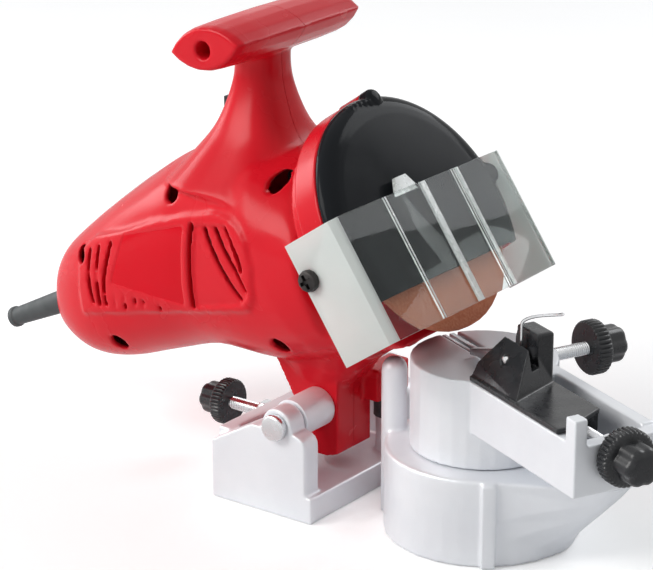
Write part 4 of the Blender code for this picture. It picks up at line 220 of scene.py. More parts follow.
for lamp_name, lamp_place, lamp_size, lamp_power, lamp_colour in LAMPS:
    lamp = bpy.data.lights.new(lamp_name, "AREA")
    lamp.size = lamp_size
    lamp.energy = lamp_power
    lamp.color = lamp_colour
    lamp_stand = bpy.data.objects.new(lamp_name, lamp)
    bpy.context.scene.collection.objects.link(lamp_stand)
    lamp_stand.location = lamp_place
    lamp_stand.rotation_euler = (Vector(CAMERA_TARGET) - Vector(lamp_place)).to_track_quat("-Z", "Y").to_euler()

view = bpy.data.cameras.new("camera")
view.lens = CAMERA_LENS
view.clip_end = 20
camera = bpy.data.objects.new("camera", view)
bpy.context.scene.collection.objects.link(camera)
camera.location = CAMERA_PLACE
camera.rotation_euler = (Vector(CAMERA_TARGET) - Vector(CAMERA_PLACE)).to_track_quat("-Z", "Y").to_euler()
bpy.context.scene.camera = camera
bpy.context.scene.view_settings.view_transform = "Standard"

# Base casting.
# One aluminium casting with two ears for the pivot, a low plate, a buffer post and the drum that
# carries the vise. Its edges are softly rounded by the mould, and it is shot-blasted and lacquered.
CAST_VOXEL = 0.0009
CAST_ROUNDS = 5
SHADING_ANGLE = math.radians(35)
CAST = finish("cast_aluminium", (0.83, 0.85, 0.885), (0.78, 0.80, 0.84), (0.34, 0.46), 30, (1100, 0.00005),
              plain={"Metallic": 0.25})


def apply_modifiers(piece):
    work_on(piece)
    for modifier in [m.name for m in piece.modifiers]:
        bpy.ops.object.modifier_apply(modifier=modifier)


def smooth(piece, angle=SHADING_ANGLE):
    work_on(piece)
    bpy.ops.object.shade_smooth_by_angle(angle=angle)


def new_piece(name, mesh):
    piece = bpy.data.objects.new(name, mesh)
    bpy.context.scene.collection.objects.link(piece)
    return piece


def node_copy(node, name):
    """A new piece from a solid's own mesh, merged, its flat faces made whole again."""
    piece = new_piece(name, frame["nodes"][node].data.copy())
    piece.data.materials.clear()
    work_on(piece)
    bpy.ops.mesh.customdata_custom_splitnormals_clear()
    bpy.ops.object.mode_set(mode="EDIT")
    bpy.ops.mesh.select_all(action="SELECT")
    bpy.ops.mesh.remove_doubles(threshold=0.00001)
    bpy.ops.mesh.dissolve_limited(angle_limit=math.radians(0.6))
    bpy.ops.object.mode_set(mode="OBJECT")
    return piece


def remeshed(piece, voxel, rounds):
    """One even skin over the piece, then worn soft by a few rounds of smoothing."""
    skin = piece.modifiers.new("skin", "REMESH")
    skin.mode = "VOXEL"
    skin.voxel_size = voxel
    skin.use_smooth_shade = True
    if rounds:
        worn = piece.modifiers.new("worn", "SMOOTH")
        worn.factor = 0.5
        worn.iterations = rounds
    apply_modifiers(piece)
    return piece


def stands_for(piece, material, *nodes):
    """Gives a piece its finish and lets it ride where the solids that it stands for ride."""
    piece.data.materials.clear()
    piece.data.materials.append(material)
    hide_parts(*nodes)
    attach(piece, frame["nodes"][nodes[0]]["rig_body"])
    return piece


def cast_piece(node, name, voxel, rounds, material):
    piece = remeshed(node_copy(node, name), voxel, rounds)
    smooth(piece, math.radians(60))
    return stands_for(piece, material, node)


cast_piece("base_casting", "cast_base", CAST_VOXEL, CAST_ROUNDS, CAST)

# Pivot pin with its clip, the spring round it, the spring's cup and the rubber rest buffer.
# The pin and clip are zinc-plated turned steel, the spring is drawn wire, and the buffer is
# pushed over its post.
EDGE = 0.0003
ZINC = finish("bright_zinc", (0.74, 0.745, 0.75), (0.66, 0.67, 0.69), (0.2, 0.34), 60, (2600, 0.000008),
              plain={"Metallic": 1.0})
STEEL = finish("ground_steel", (0.52, 0.53, 0.55), (0.44, 0.45, 0.47), (0.24, 0.42), 45, (900, 0.00001),
               stretch=(1, 1, 9), plain={"Metallic": 1.0})
RUBBER = finish("grey_rubber", (0.045, 0.052, 0.055), (0.06, 0.068, 0.07), (0.5, 0.68), 60, (2200, 0.00002))


def eased_copy(node, name, material, edge=EDGE, steps=2):
    """A solid's shape with its edges broken by a small round."""
    piece = node_copy(node, name)
    if edge:
        broken = piece.modifiers.new("broken_edges", "BEVEL")
        broken.width = edge
        broken.segments = steps
        broken.limit_method = "ANGLE"
        broken.angle_limit = SHADING_ANGLE
        apply_modifiers(piece)
    smooth(piece)
    return stands_for(piece, material, node)


eased_copy("pivot_pin", "pivot_pin_turned", ZINC, 0.0002)
eased_copy("pivot_clip", "pivot_clip_sprung", STEEL, 0.0001)
eased_copy("return_spring", "return_spring_wire", STEEL, 0)
eased_copy("spring_sleeve", "spring_cup", CAST, 0.0003)
eased_copy("rest_buffer", "rest_buffer_cap", RUBBER, 0.0002)

# Vise.
# The cylinder and its arm are one casting that turns on the drum. A ground steel rail is fixed in
# its groove, and the jaw beside it is pushed by the clamp screw. A stud and its washer hold it down.
cast_piece("vise_body", "cast_vise", 0.0006, 2, CAST)
eased_copy("chain_rail", "chain_rail_ground", STEEL, 0.0002)
eased_copy("clamp_jaw", "clamp_jaw_ground", STEEL, 0.0002)
eased_copy("turntable_stud", "turntable_stud_turned", ZINC, 0.0002)
eased_copy("lock_washer", "lock_washer_pressed", ZINC, 0.0002)

# Adjusting screws.
# Three plated steel screws with a rolled thread: the depth stop behind the base, the clamp screw
# and the chain stop's own screw, which has a collar under its knob.
SCREW_RADIUS = 0.003
THREAD_PITCH = 0.001
THREAD_DEPTH = 0.00036
THREAD_SPOKES = 24
THREAD_RINGS = 6
VISE_CENTRE = Vector((0.0848, 0, 0))
ALONG_VISE = Vector((math.cos(math.radians(-25)), math.sin(math.radians(-25)), 0))
ACROSS_VISE = Vector((-ALONG_VISE.y, ALONG_VISE.x, 0))
DEPTH_FOOT, DEPTH_LINE = Vector((0, 0, 0.025)), Vector((-1, 0, 0))
CLAMP_FOOT = VISE_CENTRE + Vector((0, 0, 0.0737))
STOP_FOOT = VISE_CENTRE + Vector((0, 0, 0.0725))


def placed(piece, foot, line):
    """Stands a piece made along Z on its foot, along its line, and leaves the place in the mesh."""
    work_on(piece)
    piece.matrix_world = Matrix.Translation(foot) @ line.to_track_quat("Z", "Y").to_matrix().to_4x4()
    bpy.ops.object.transform_apply(location=True, rotation=True, scale=True)
    return piece


def turned(name, profile, foot, line, spokes=72):
    """A turned piece: a disc drawn out along its axis and resized at each step of the profile."""
    bpy.ops.object.select_all(action="DESELECT")
    bpy.ops.mesh.primitive_circle_add(vertices=spokes, radius=profile[0][1], fill_type="NGON",
                                      location=(0, 0, profile[0][0]))
    piece = bpy.context.object
    piece.name = name
    bpy.ops.object.mode_set(mode="EDIT")
    bpy.ops.mesh.select_all(action="SELECT")
    for (low, here), (high, there) in zip(profile, profile[1:]):
        bpy.ops.mesh.extrude_region_move(TRANSFORM_OT_translate={"value": (0, 0, high - low)})
        size = there / here
        bpy.ops.transform.resize(value=(size, size, 1), center_override=(0, 0, high))
    bpy.ops.mesh.select_all(action="SELECT")
    bpy.ops.mesh.normals_make_consistent(inside=False)
    bpy.ops.object.mode_set(mode="OBJECT")
    bpy.ops.object.transform_apply(location=True, rotation=True, scale=True)
    return placed(piece, foot, line)


def threaded(name, start, end, foot, line):
    """One turn of thread drawn up in rings and copied along the screw, with both ends closed."""
    turns = round((end - start) / THREAD_PITCH)
    pitch = (end - start) / turns
    bpy.ops.object.select_all(action="DESELECT")
    bpy.ops.mesh.primitive_circle_add(vertices=THREAD_SPOKES, radius=SCREW_RADIUS, location=(0, 0, start))
    piece = bpy.context.object
    piece.name = name
    bpy.ops.object.mode_set(mode="EDIT")
    bpy.ops.mesh.select_all(action="SELECT")
    for step in range(THREAD_RINGS):
        bpy.ops.mesh.extrude_edges_move(TRANSFORM_OT_translate={"value": (0, 0, pitch / THREAD_RINGS)})
    bpy.ops.object.mode_set(mode="OBJECT")
    bpy.ops.object.transform_apply(location=True, rotation=True, scale=True)
    for point in piece.data.vertices:
        turn = math.atan2(point.co.y, point.co.x) / math.tau
        phase = ((point.co.z - start) / pitch - turn) % 1
        groove = min(1.0, 2.4 * abs(phase - 0.5))
        share = 1 - THREAD_DEPTH / SCREW_RADIUS * (1 - groove)
        point.co.x *= share
        point.co.y *= share
    rolled = piece.modifiers.new("rolled", "ARRAY")
    rolled.count = turns
    rolled.use_relative_offset = False
    rolled.use_constant_offset = True
    rolled.constant_offset_displace = (0, 0, pitch)
    rolled.use_merge_vertices = True
    rolled.merge_threshold = 0.00002
    apply_modifiers(piece)
    bpy.ops.object.mode_set(mode="EDIT")
    bpy.ops.mesh.select_all(action="SELECT")
    bpy.ops.mesh.fill_holes(sides=0)
    bpy.ops.mesh.select_all(action="SELECT")
    bpy.ops.mesh.normals_make_consistent(inside=False)
    bpy.ops.object.mode_set(mode="OBJECT")
    return placed(piece, foot, line)


def joined(name, *pieces):
    work_on(*pieces)
    bpy.ops.object.join()
    pieces[0].name = name
    return pieces[0]


def combine(piece, others, operation):
    """Unites, cuts or trims a piece with others, all in one go, and clears them away."""
    group = bpy.data.collections.new("operands")
    bpy.context.scene.collection.children.link(group)
    for other in others:
        for owner in other.users_collection:
            owner.objects.unlink(other)
        group.objects.link(other)
    change = piece.modifiers.new(operation.lower(), "BOOLEAN")
    change.operation = operation
    change.solver = "EXACT"
    change.operand_type = "COLLECTION"
    change.collection = group
    change.material_mode = "TRANSFER"
    apply_modifiers(piece)
    for other in others:
        bpy.data.objects.remove(other, do_unlink=True)
    bpy.data.collections.remove(group)
    return piece


depth_screw = threaded("depth_screw_rolled", 0.0099, 0.0622, DEPTH_FOOT, DEPTH_LINE)
smooth(depth_screw, math.radians(50))
stands_for(depth_screw, ZINC, "depth_screw")
clamp_screw = threaded("clamp_screw_rolled", 0.0035, 0.0605, CLAMP_FOOT, ACROSS_VISE)
smooth(clamp_screw, math.radians(50))
stands_for(clamp_screw, ZINC, "clamp_screw")
stop_thread = threaded("stop_screw_rolled", 0.0460, 0.1127, STOP_FOOT, ALONG_VISE)
stop_collar = turned("stop_collar", ((0.0937, 0.0048), (0.0940, 0.0052), (0.0954, 0.0052), (0.0957, 0.0048)),
                     STOP_FOOT, ALONG_VISE, 48)
combine(stop_thread, [stop_collar], "UNION")
smooth(stop_thread, math.radians(50))
stands_for(stop_thread, ZINC, "adjust_screw")
eased_copy("depth_locknut", "depth_locknut_plated", ZINC, 0.0002)

# Knobs.
# Four moulded black knobs. Three have a toothed flange and a lobed, domed cap and are pressed on
# their screws; the flat one under the drum locks the vise at its angle.
KNOB_PROFILE = ((0.0, 0.0114), (0.0006, 0.0121), (0.0012, 0.0123), (0.0056, 0.0123), (0.0064, 0.0120),
                (0.0070, 0.0112), (0.0073, 0.0097), (0.0076, 0.0088), (0.0084, 0.0085), (0.0150, 0.0085),
                (0.0162, 0.0081), (0.0171, 0.0073), (0.0177, 0.0059), (0.0179, 0.0040), (0.01795, 0.0010))
KNOB_SPOKES = 216
KNOB_TEETH = 36
KNOB_LOBES = 6
TOOTH_SHARE = 0.05
LOBE_SHARE = 0.10
SOCKET_RADIUS = 0.0033
SOCKET_DEPTH = 0.0093
BLACK = finish("black_plastic", (0.013, 0.014, 0.016), (0.02, 0.021, 0.024), (0.22, 0.34), 40, (1500, 0.00002),
               plain={"Specular IOR Level": 0.4})


def knob(node, name, foot, line, face, scale=1.0):
    """A turned blank whose flange is cut into teeth and whose cap is cut into lobes, then bored."""
    piece = turned(name, [(up * scale, radius * scale) for up, radius in KNOB_PROFILE], Vector(), Vector((0, 0, 1)),
                   KNOB_SPOKES)
    for point in piece.data.vertices:
        turn = math.atan2(point.co.y, point.co.x)
        radius = math.hypot(point.co.x, point.co.y) / scale
        if point.co.z < 0.0066 * scale and radius > 0.0118:
            share = 1 - TOOTH_SHARE * (0.5 - 0.5 * math.cos(turn * KNOB_TEETH)) ** 2
        elif point.co.z > 0.0074 * scale and radius > 0.0035:
            share = 1 - LOBE_SHARE * (0.5 - 0.5 * math.cos(turn * KNOB_LOBES)) ** 1.6
        else:
            continue
        point.co.x *= share
        point.co.y *= share
    socket = turned("socket", ((-0.001, SOCKET_RADIUS), (SOCKET_DEPTH, SOCKET_RADIUS)), Vector(), Vector((0, 0, 1)), 48)
    combine(piece, [socket], "DIFFERENCE")
    placed(piece, foot + line * face, line)
    smooth(piece, math.radians(38))
    return stands_for(piece, BLACK, node)


knob("depth_knob", "depth_knob_moulded", DEPTH_FOOT, DEPTH_LINE, 0.0535, 0.88)
knob("clamp_knob", "clamp_knob_moulded", CLAMP_FOOT, ACROSS_VISE, 0.0518)
knob("adjust_knob", "stop_knob_moulded", STOP_FOOT, ALONG_VISE, 0.1040)
eased_copy("lock_knob", "lock_knob_moulded", BLACK, 0.0003)

# Chain stop.
# A ribbed black slide runs along the vise on its screw. A steel finger, hinged on a pin and lifted
# by a bent wire, drops behind a link of the chain.
cast_piece("stop_carriage", "stop_slide", 0.00035, 2, BLACK)
eased_copy("stop_pawl", "stop_finger", STEEL, 0.0003)
eased_copy("pawl_pin", "pawl_pin_turned", ZINC, 0.0001)
eased_copy("pawl_lift_wire", "pawl_lift_wire_bent", ZINC, 0)

# Red housing.
# Two glossy moulded shells that meet in a seam down the middle and are held by six screws: the
# motor's body, the leg on the pivot, the neck and the grip across its top.
TILT = math.radians(34.5)
DISC_CENTRE = Vector((0.04955, 0, 0.13343))
ACROSS = Vector((0, 1, 0))
FORWARD = Vector((math.cos(TILT), 0, math.sin(TILT)))
UPWARD = Vector((-math.sin(TILT), 0, math.cos(TILT)))
FORM_VOXEL = 0.0012
FORM_ROUNDS = 9
FIRST_VOXEL = 0.0011
SKIN_VOXEL = 0.00085
THINNED_SHARE = 0.62
SKIN_ROUNDS = 2
WALL = 0.0026
SEAM = 0.00015
CLEARANCE = 0.0003
REAR_X = -0.1465
LENGTH = 0.2018
LOW_Z = 0.038
HEIGHT = 0.1328
HALF_WIDTH = 0.048
TOP_SHARES = ((0.007, 0.316), (0.037, 0.399), (0.092, 0.478), (0.181, 0.591), (0.290, 0.719), (0.399, 0.828),
              (0.518, 0.889), (0.617, 0.900))
LOW_SHARES = ((0.0, 0.136), (0.032, 0.053), (0.121, 0.0), (0.220, 0.015), (0.354, 0.087), (0.503, 0.158),
              (0.686, 0.166), (0.835, 0.226))
WIDTH_SHARES = (0.28, 0.50, 0.66, 0.76, 0.82, 0.88, 0.94, 1.0)
BODY_SPOKES = 48
SUB_STEPS = 4
THROAT_RINGS = ((-0.0300, 0.0478), (-0.0278, 0.0450), (-0.0235, 0.0446), (-0.0165, 0.0446))
NECK_X = -0.0345
NECK_BASE_Z = 0.138
NECK_HEIGHT = 0.066
NECK_HALF_LENGTH = 0.0105
NECK_HALF_WIDTH = 0.0123
NECK_RINGS = ((0.0, 3.5), (0.2, 2.5), (0.36, 1.78), (0.52, 1.36), (0.7, 1.06), (0.85, 1.0), (1.0, 1.04))
LEG_HALF_WIDTH = 0.0128
ROOT_X = -0.0085
ROOT_RINGS = ((0.0, 0.0, 0.97, 0.95), (0.28, 0.46, 1.45, 1.4), (0.62, 0.66, 2.35, 2.45), (1.0, 0.3, 2.47, 2.95))
RAISED = ((-0.1125, 0.0665), (-0.094, 0.0715), (-0.0405, 0.0842), (-0.0085, 0.0925), (-0.0045, 0.100),
          (-0.0050, 0.115), (-0.0088, 0.1255), (-0.0140, 0.1305), (-0.020, 0.1330), (-0.029, 0.1330),
          (-0.0433, 0.1290), (-0.067, 0.1208), (-0.0865, 0.1117), (-0.107, 0.1045), (-0.1165, 0.095))
RAISED_HEIGHT = 0.0016
LABEL = ((-0.0850, 0.1105), (-0.0461, 0.1239), (-0.0468, 0.0862), (-0.0921, 0.0865))
VENT_PANEL = ((-0.0393, 0.1258), (-0.0205, 0.1300), (-0.0070, 0.0999), (-0.0119, 0.0945), (-0.0400, 0.0866))
GROOVE = ((-0.0425, 0.1262), (-0.0399, 0.1262), (-0.0405, 0.0858), (-0.0428, 0.0858))
PANEL_DEPTH = 0.0010
GROOVE_DEPTH = 0.0020
LABEL_ROOM = 0.0004
FRONT_SLOTS = (((-0.0337, 0.1256), (-0.0266, 0.1145), (-0.0186, 0.1044), (-0.0114, 0.0971)),
               ((-0.0275, 0.1273), (-0.0202, 0.1175), (-0.0122, 0.1084), (-0.0077, 0.1014)),
               ((-0.0213, 0.1287), (-0.0151, 0.1211), (-0.0108, 0.1143), (-0.0105, 0.1104)))
REAR_SLOTS = (((-0.0932, 0.1057), (-0.0951, 0.0959), (-0.0967, 0.0858), (-0.0960, 0.0741)),
              ((-0.1018, 0.1019), (-0.1017, 0.0927), (-0.1014, 0.0830), (-0.0999, 0.0732)),
              ((-0.1082, 0.0987), (-0.1077, 0.0895), (-0.1067, 0.0817), (-0.1038, 0.0732)))
LOW_VENTS = tuple(((x, low), (x + 0.0006, high)) for x, low, high in (
    (-0.0900, 0.0742, 0.0822), (-0.0842, 0.0752, 0.0826), (-0.0779, 0.0764, 0.0830), (-0.0729, 0.0774, 0.0832),
    (-0.0685, 0.0784, 0.0834), (-0.0630, 0.0794, 0.0834)))
SLOT_WIDTH = 0.0021
LOW_VENT_WIDTH = 0.0018
SLOT_INNER_Y = 0.020
SIDE_Y = 0.065
SCREW_PLACES = ((-0.0589, 0.1340), (-0.0040, 0.1480), (-0.0971, 0.0539), (0.0010, 0.0760), (-0.1160, 0.0930))
RECESS_RADIUS = 0.004
RECESS_FLOOR = 0.016
RED = finish("red_plastic", (0.66, 0.010, 0.021), (0.61, 0.008, 0.018), (0.2, 0.3), 12, (700, 0.000008),
             plain={"Specular IOR Level": 0.16})
DEEP_RED = finish("label_red", (0.62, 0.004, 0.014), (0.58, 0.0035, 0.012), (0.07, 0.14), 18, (300, 0.000003),
                  plain={"Specular IOR Level": 0.08})
SHOULDER_LINE = ((0.0085, 0.1530), (0.0111, 0.1472), (0.0157, 0.1338), (0.0197, 0.1154), (0.0240, 0.1000),
                 (0.0250, 0.0700))
SHOULDER_REACH = 0.05
SHOULDER_OUTER = (0.065, -0.0062)
SHOULDER_INNER = (0.036, 0.0035)


def ring(top, low, half_width, squareness, spokes=BODY_SPOKES):
    """Closed ring between an ellipse and a rectangle, standing between its top and low points."""
    centre = (top + low) / 2
    rise = (top - low) / 2
    points = []
    for spoke in range(spokes):
        turn = math.tau * (spoke + 0.5) / spokes
        across = math.copysign(abs(math.cos(turn)) ** (2 / squareness), math.cos(turn))
        up = math.copysign(abs(math.sin(turn)) ** (2 / squareness), math.sin(turn))
        points.append(centre + ACROSS * half_width * across + rise * up)
    return points


def skinned(name, rings):
    """One closed body over a row of rings."""
    count = len(rings[0])
    points = [tuple(point) for row in rings for point in row]
    faces = [tuple(range(count))[::-1], tuple(range(len(points) - count, len(points)))]
    for row in range(len(rings) - 1):
        for spoke in range(count):
            here = row * count + spoke
            after = row * count + (spoke + 1) % count
            faces.append((here, after, after + count, here + count))
    mesh = bpy.data.meshes.new(name)
    mesh.from_pydata(points, [], faces)
    piece = new_piece(name, mesh)
    work_on(piece)
    bpy.ops.object.mode_set(mode="EDIT")
    bpy.ops.mesh.select_all(action="SELECT")
    bpy.ops.mesh.normals_make_consistent(inside=False)
    bpy.ops.object.mode_set(mode="OBJECT")
    return piece


def through(rows, steps=SUB_STEPS):
    """Rows of numbers with smooth steps put in between them."""
    made = []
    for place in range(len(rows) - 1):
        before = rows[max(place - 1, 0)]
        here, after = rows[place], rows[place + 1]
        beyond = rows[min(place + 2, len(rows) - 1)]
        for step in range(steps):
            t = step / steps
            made.append([((2 * b) + (c - a) * t + (2 * a - 5 * b + 4 * c - d) * t * t
                          + (3 * b - a - 3 * c + d) * t ** 3) / 2
                         for a, b, c, d in zip(before, here, after, beyond)])
    return made + [list(rows[-1])]


def body_form(name):
    rows = []
    for (top_along, top_up), (low_along, low_up), wide in zip(TOP_SHARES, LOW_SHARES, WIDTH_SHARES):
        rows.append((REAR_X + LENGTH * top_along, LOW_Z + HEIGHT * top_up, REAR_X + LENGTH * low_along,
                     LOW_Z + HEIGHT * low_up, HALF_WIDTH * wide))
    rings = []
    for top_x, top_z, low_x, low_z, wide in through(rows):
        rings.append(ring(Vector((top_x, 0, top_z)), Vector((low_x, 0, low_z)), wide, 2.4))
    for back, radius in THROAT_RINGS:
        centre = DISC_CENTRE + FORWARD * back
        rings.append(ring(centre + UPWARD * radius, centre - UPWARD * radius, radius, 2))
    return skinned(name, rings)


def side_prism(name, outline, near, far):
    """An outline of the side view, as thick as its two places across the object."""
    return skinned(name, [[Vector((x, near, z)) for x, z in outline], [Vector((x, far, z)) for x, z in outline]])


def slot_outline(line, width):
    """The outline of a slot of even width along a line of the side view."""
    left, right = [], []
    for place, (x, z) in enumerate(line):
        before, after = line[max(place - 1, 0)], line[min(place + 1, len(line) - 1)]
        run = Vector((after[0] - before[0], after[1] - before[1])).normalized()
        half = width / 2
        left.append((x - run.y * half, z + run.x * half))
        right.append((x + run.y * half, z - run.x * half))
    return left + right[::-1]


def block(name, low, high):
    """A plain cutter between two corners."""
    outline = ((low[0], low[2]), (high[0], low[2]), (high[0], high[2]), (low[0], high[2]))
    return side_prism(name, outline, low[1], high[1])


def shifted(piece, depth):
    """The piece with its skin moved this far inwards."""
    shift = piece.modifiers.new("shift", "DISPLACE")
    shift.strength = -depth
    shift.mid_level = 0
    apply_modifiers(piece)
    return piece


def displaced(piece, name, depth):
    return shifted(new_piece(name, piece.data.copy()), depth)


def neck_form(name):
    rings = []
    for share, flare in through(NECK_RINGS):
        centre = Vector((NECK_X, 0, NECK_BASE_Z + NECK_HEIGHT * share))
        out = Vector((-NECK_HALF_LENGTH * flare, 0, 0))
        rings.append(ring(centre + out, centre - out, NECK_HALF_WIDTH * flare, 2.9, 32))
    return skinned(name, rings)


def root_form(name):
    rings = []
    for up, back, front, wide in through(ROOT_RINGS):
        low = Vector((ROOT_X - 0.024 * back, 0, 0.050 + 0.050 * up))
        high = Vector((ROOT_X + 0.024 * front, 0, 0.050 + 0.050 * up))
        rings.append(ring(low, high, LEG_HALF_WIDTH * wide, 3.4, 32))
    return skinned(name, rings)


def shoulder_cut(side):
    """What is left away in front of the shoulder's edge, slanting in towards the throat."""
    outline = SHOULDER_LINE + tuple((x + SHOULDER_REACH, z) for x, z in SHOULDER_LINE[::-1])
    return skinned("shoulder", [[Vector((x + shift, side * wide, z)) for x, z in outline]
                                for wide, shift in (SHOULDER_INNER, SHOULDER_OUTER)])


body = combine(body_form("body"), [shoulder_cut(-1), shoulder_cut(1)], "DIFFERENCE")
form = remeshed(joined("form", body, neck_form("neck"), root_form("root")), FORM_VOXEL, FORM_ROUNDS)
under_vise = skinned("under_vise", [
    [Vector((0.047, y, 0.02)), Vector((0.100, y, 0.02)), Vector((0.100, y, 0.0908)), Vector((0.047, y, 0.0852))]
    for y in (-SIDE_Y, SIDE_Y)])
pillar_room = block("pillar_room", (0.0335, -0.0158, 0.02), (0.0530, -0.0022, 0.0784))

# The raised field round the vents stands a little proud of the body; panels and grooves are sunk.
raised = displaced(form, "raised", -RAISED_HEIGHT)
combine(raised, [joined("raised_edges", side_prism("raised_near", RAISED, -SIDE_Y, -0.018),
                        side_prism("raised_far", RAISED, 0.018, SIDE_Y))], "INTERSECT")
skin = remeshed(joined("skin", new_piece("skin", form.data.copy()), raised), FIRST_VOXEL, SKIN_ROUNDS + 1)
panels = joined("panels", side_prism("label_room", LABEL, -SIDE_Y, -0.02),
                side_prism("vent_room", VENT_PANEL, -SIDE_Y, -0.02), side_prism("vent_far", VENT_PANEL, 0.02, SIDE_Y))
combine(panels, [displaced(skin, "panel_floor", PANEL_DEPTH)], "DIFFERENCE")
grooves = joined("grooves", *[side_prism("groove", outline, *sides) for outline in (
    [GROOVE] + [slot_outline(line, LOW_VENT_WIDTH) for line in LOW_VENTS])
    for sides in ((-SIDE_Y, -0.02), (0.02, SIDE_Y))])
combine(grooves, [displaced(skin, "groove_floor", GROOVE_DEPTH)], "DIFFERENCE")
slots = [side_prism("slot", slot_outline(through(line, 3), SLOT_WIDTH), *sides) for line in FRONT_SLOTS + REAR_SLOTS
         for sides in ((-SIDE_Y, -SLOT_INNER_Y), (SLOT_INNER_Y, SIDE_Y))]
recesses = [turned("recess", ((0, RECESS_RADIUS), (0.05, RECESS_RADIUS)), Vector((x, -RECESS_FLOOR, z)), -ACROSS, 32)
            for x, z in SCREW_PLACES]
openings = [shifted(node_copy(node, node + "_room"), -CLEARANCE)
            for node in ("cord_boot", "switch_body", "guard_back", "guard_screw_1", "guard_screw_2", "guard_screw_3",
                         "motor_can", "front_bearing", "inner_flange")]
cavity = remeshed(displaced(form, "cavity", WALL), 0.002, 1)
inside = joined("inside", node_copy("housing_left", "left_solid"), node_copy("housing_right", "right_solid"))
lower_leg = combine(new_piece("lower_leg", inside.data.copy()),
                    [block("leg_part", (-0.035, -0.05, 0.0), (0.06, 0.05, 0.060))], "INTERSECT")
grip = combine(new_piece("grip", inside.data.copy()),
               [block("grip_part", (-0.09, -0.06, 0.184), (0.03, 0.06, 0.24))], "INTERSECT")
lip_slab = turned("lip_slab", ((-0.0207, 0.0575), (-0.0140, 0.0575)), DISC_CENTRE, FORWARD, 96)
lip = combine(new_piece("lip", inside.data.copy()), [lip_slab], "INTERSECT")
combine(inside, [displaced(form, "inner_limit", 0.0012)], "INTERSECT")
combine(skin, [cavity, panels, grooves, under_vise, pillar_room] + slots + recesses + openings, "DIFFERENCE")
housing = remeshed(joined("housing", skin, inside, lower_leg, grip, lip), SKIN_VOXEL, SKIN_ROUNDS)
thinned = housing.modifiers.new("thinned", "DECIMATE")
thinned.ratio = THINNED_SHARE
apply_modifiers(housing)

# The label is a bare glossy sheet let into its panel on the near side.
label_layer = displaced(form, "label_layer", -RAISED_HEIGHT + LABEL_ROOM)
label = combine(side_prism("side_panel", [(x * 0.994 - 0.0004, z * 0.994 + 0.0006) for x, z in LABEL], -SIDE_Y, -0.02),
                [label_layer], "INTERSECT")
combine(label, [displaced(form, "label_back", -RAISED_HEIGHT + PANEL_DEPTH - 0.0001)], "DIFFERENCE")
bpy.data.objects.remove(form, do_unlink=True)
smooth(label, math.radians(40))
label.data.materials.clear()
label.data.materials.append(DEEP_RED)
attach(label, frame["nodes"]["housing_left"]["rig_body"])


def housing_half(name, node, side):
    """One of the two shells, cut from the whole form beside the seam."""
    half = new_piece(name, housing.data.copy())
    work_on(half)
    bpy.ops.object.mode_set(mode="EDIT")
    bpy.ops.mesh.select_all(action="SELECT")
    bpy.ops.mesh.bisect(plane_co=(0, SEAM * side, 0), plane_no=(0, side, 0), use_fill=True, clear_inner=True)
    bpy.ops.object.mode_set(mode="OBJECT")
    half.data.materials.clear()
    smooth(half, math.radians(50))
    return stands_for(half, RED, node)


housing_half("near_shell", "housing_left", -1)
housing_half("far_shell", "housing_right", 1)
bpy.data.objects.remove(housing, do_unlink=True)

# Screws of the housing.
# Blackened steel screws with a cross recess, deep in their holes on the near side.
DARK_STEEL = finish("blackened_steel", (0.030, 0.028, 0.028), (0.055, 0.05, 0.048), (0.3, 0.45), 90, (2400, 0.00001),
                    plain={"Metallic": 0.8})
CROSS_LENGTH = 0.0030
CROSS_WIDTH = 0.0007
CROSS_DEPTH = 0.0008


def crossed_screw(node, name, material, head, line, size=1.0):
    """A screw from its solid, with a cross pressed into its head."""
    piece = node_copy(node, name)
    half, thin, deep = CROSS_LENGTH / 2 * size, CROSS_WIDTH / 2 * size, CROSS_DEPTH * size
    cutters = [placed(block("cross", (-wide, -high, -deep), (wide, high, deep)), head, line)
               for wide, high in ((half, thin), (thin, half))]
    combine(piece, cutters, "DIFFERENCE")
    smooth(piece)
    return stands_for(piece, material, node)


def screw_head(node, line):
    """Where a screw's axis leaves its head, from the box of its solid."""
    low, high = (Vector(corner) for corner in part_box(node))
    middle = (low + high) / 2
    reach = max(((v.co - middle).dot(line) for v in frame["nodes"][node].data.vertices))
    return middle + line * reach


for number in range(1, 7):
    node = f"housing_screw_{number}"
    crossed_screw(node, node + "_driven", DARK_STEEL, screw_head(node, -ACROSS), -ACROSS)

# Motor and electrics inside the housing.
# A plated can with two magnets, the wound rotor on its shaft and bearings, two brushes, and the
# small board that feeds it. They stay in their solids' shapes behind the shells.
MOTOR_PLATE = finish("plated_can", (0.5, 0.5, 0.52), (0.44, 0.44, 0.46), (0.3, 0.45), 30, plain={"Metallic": 1.0})
COPPER = finish("wound_copper", (0.55, 0.22, 0.09), (0.42, 0.16, 0.07), (0.3, 0.45), 300, (1800, 0.00003),
                plain={"Metallic": 0.9})
BOARD = finish("green_board", (0.03, 0.12, 0.06), (0.025, 0.10, 0.05), (0.35, 0.5), 120)
for node, part_finish in (
        ("motor_can", MOTOR_PLATE), ("motor_shaft", STEEL), ("front_bearing", STEEL), ("rear_bearing", STEEL),
        ("magnet_upper", RUBBER), ("magnet_lower", RUBBER), ("armature", COPPER), ("commutator", COPPER),
        ("brush_near", RUBBER), ("brush_far", RUBBER), ("motor_end_cap", BLACK), ("switch_body", BLACK),
        ("switch_rocker", BLACK), ("rectifier_board", BOARD), ("terminal_block", BLACK),
        ("cord_clamp", BLACK)):
    eased_copy(node, node + "_finished", part_finish, 0.0002)

# Cord boot.
# A tapered rubber sleeve at the rear.
BOOT_ROOT = Vector((-0.135, 0, 0.0633))
eased_copy("cord_boot", "cord_boot_moulded", RUBBER, 0.0003)

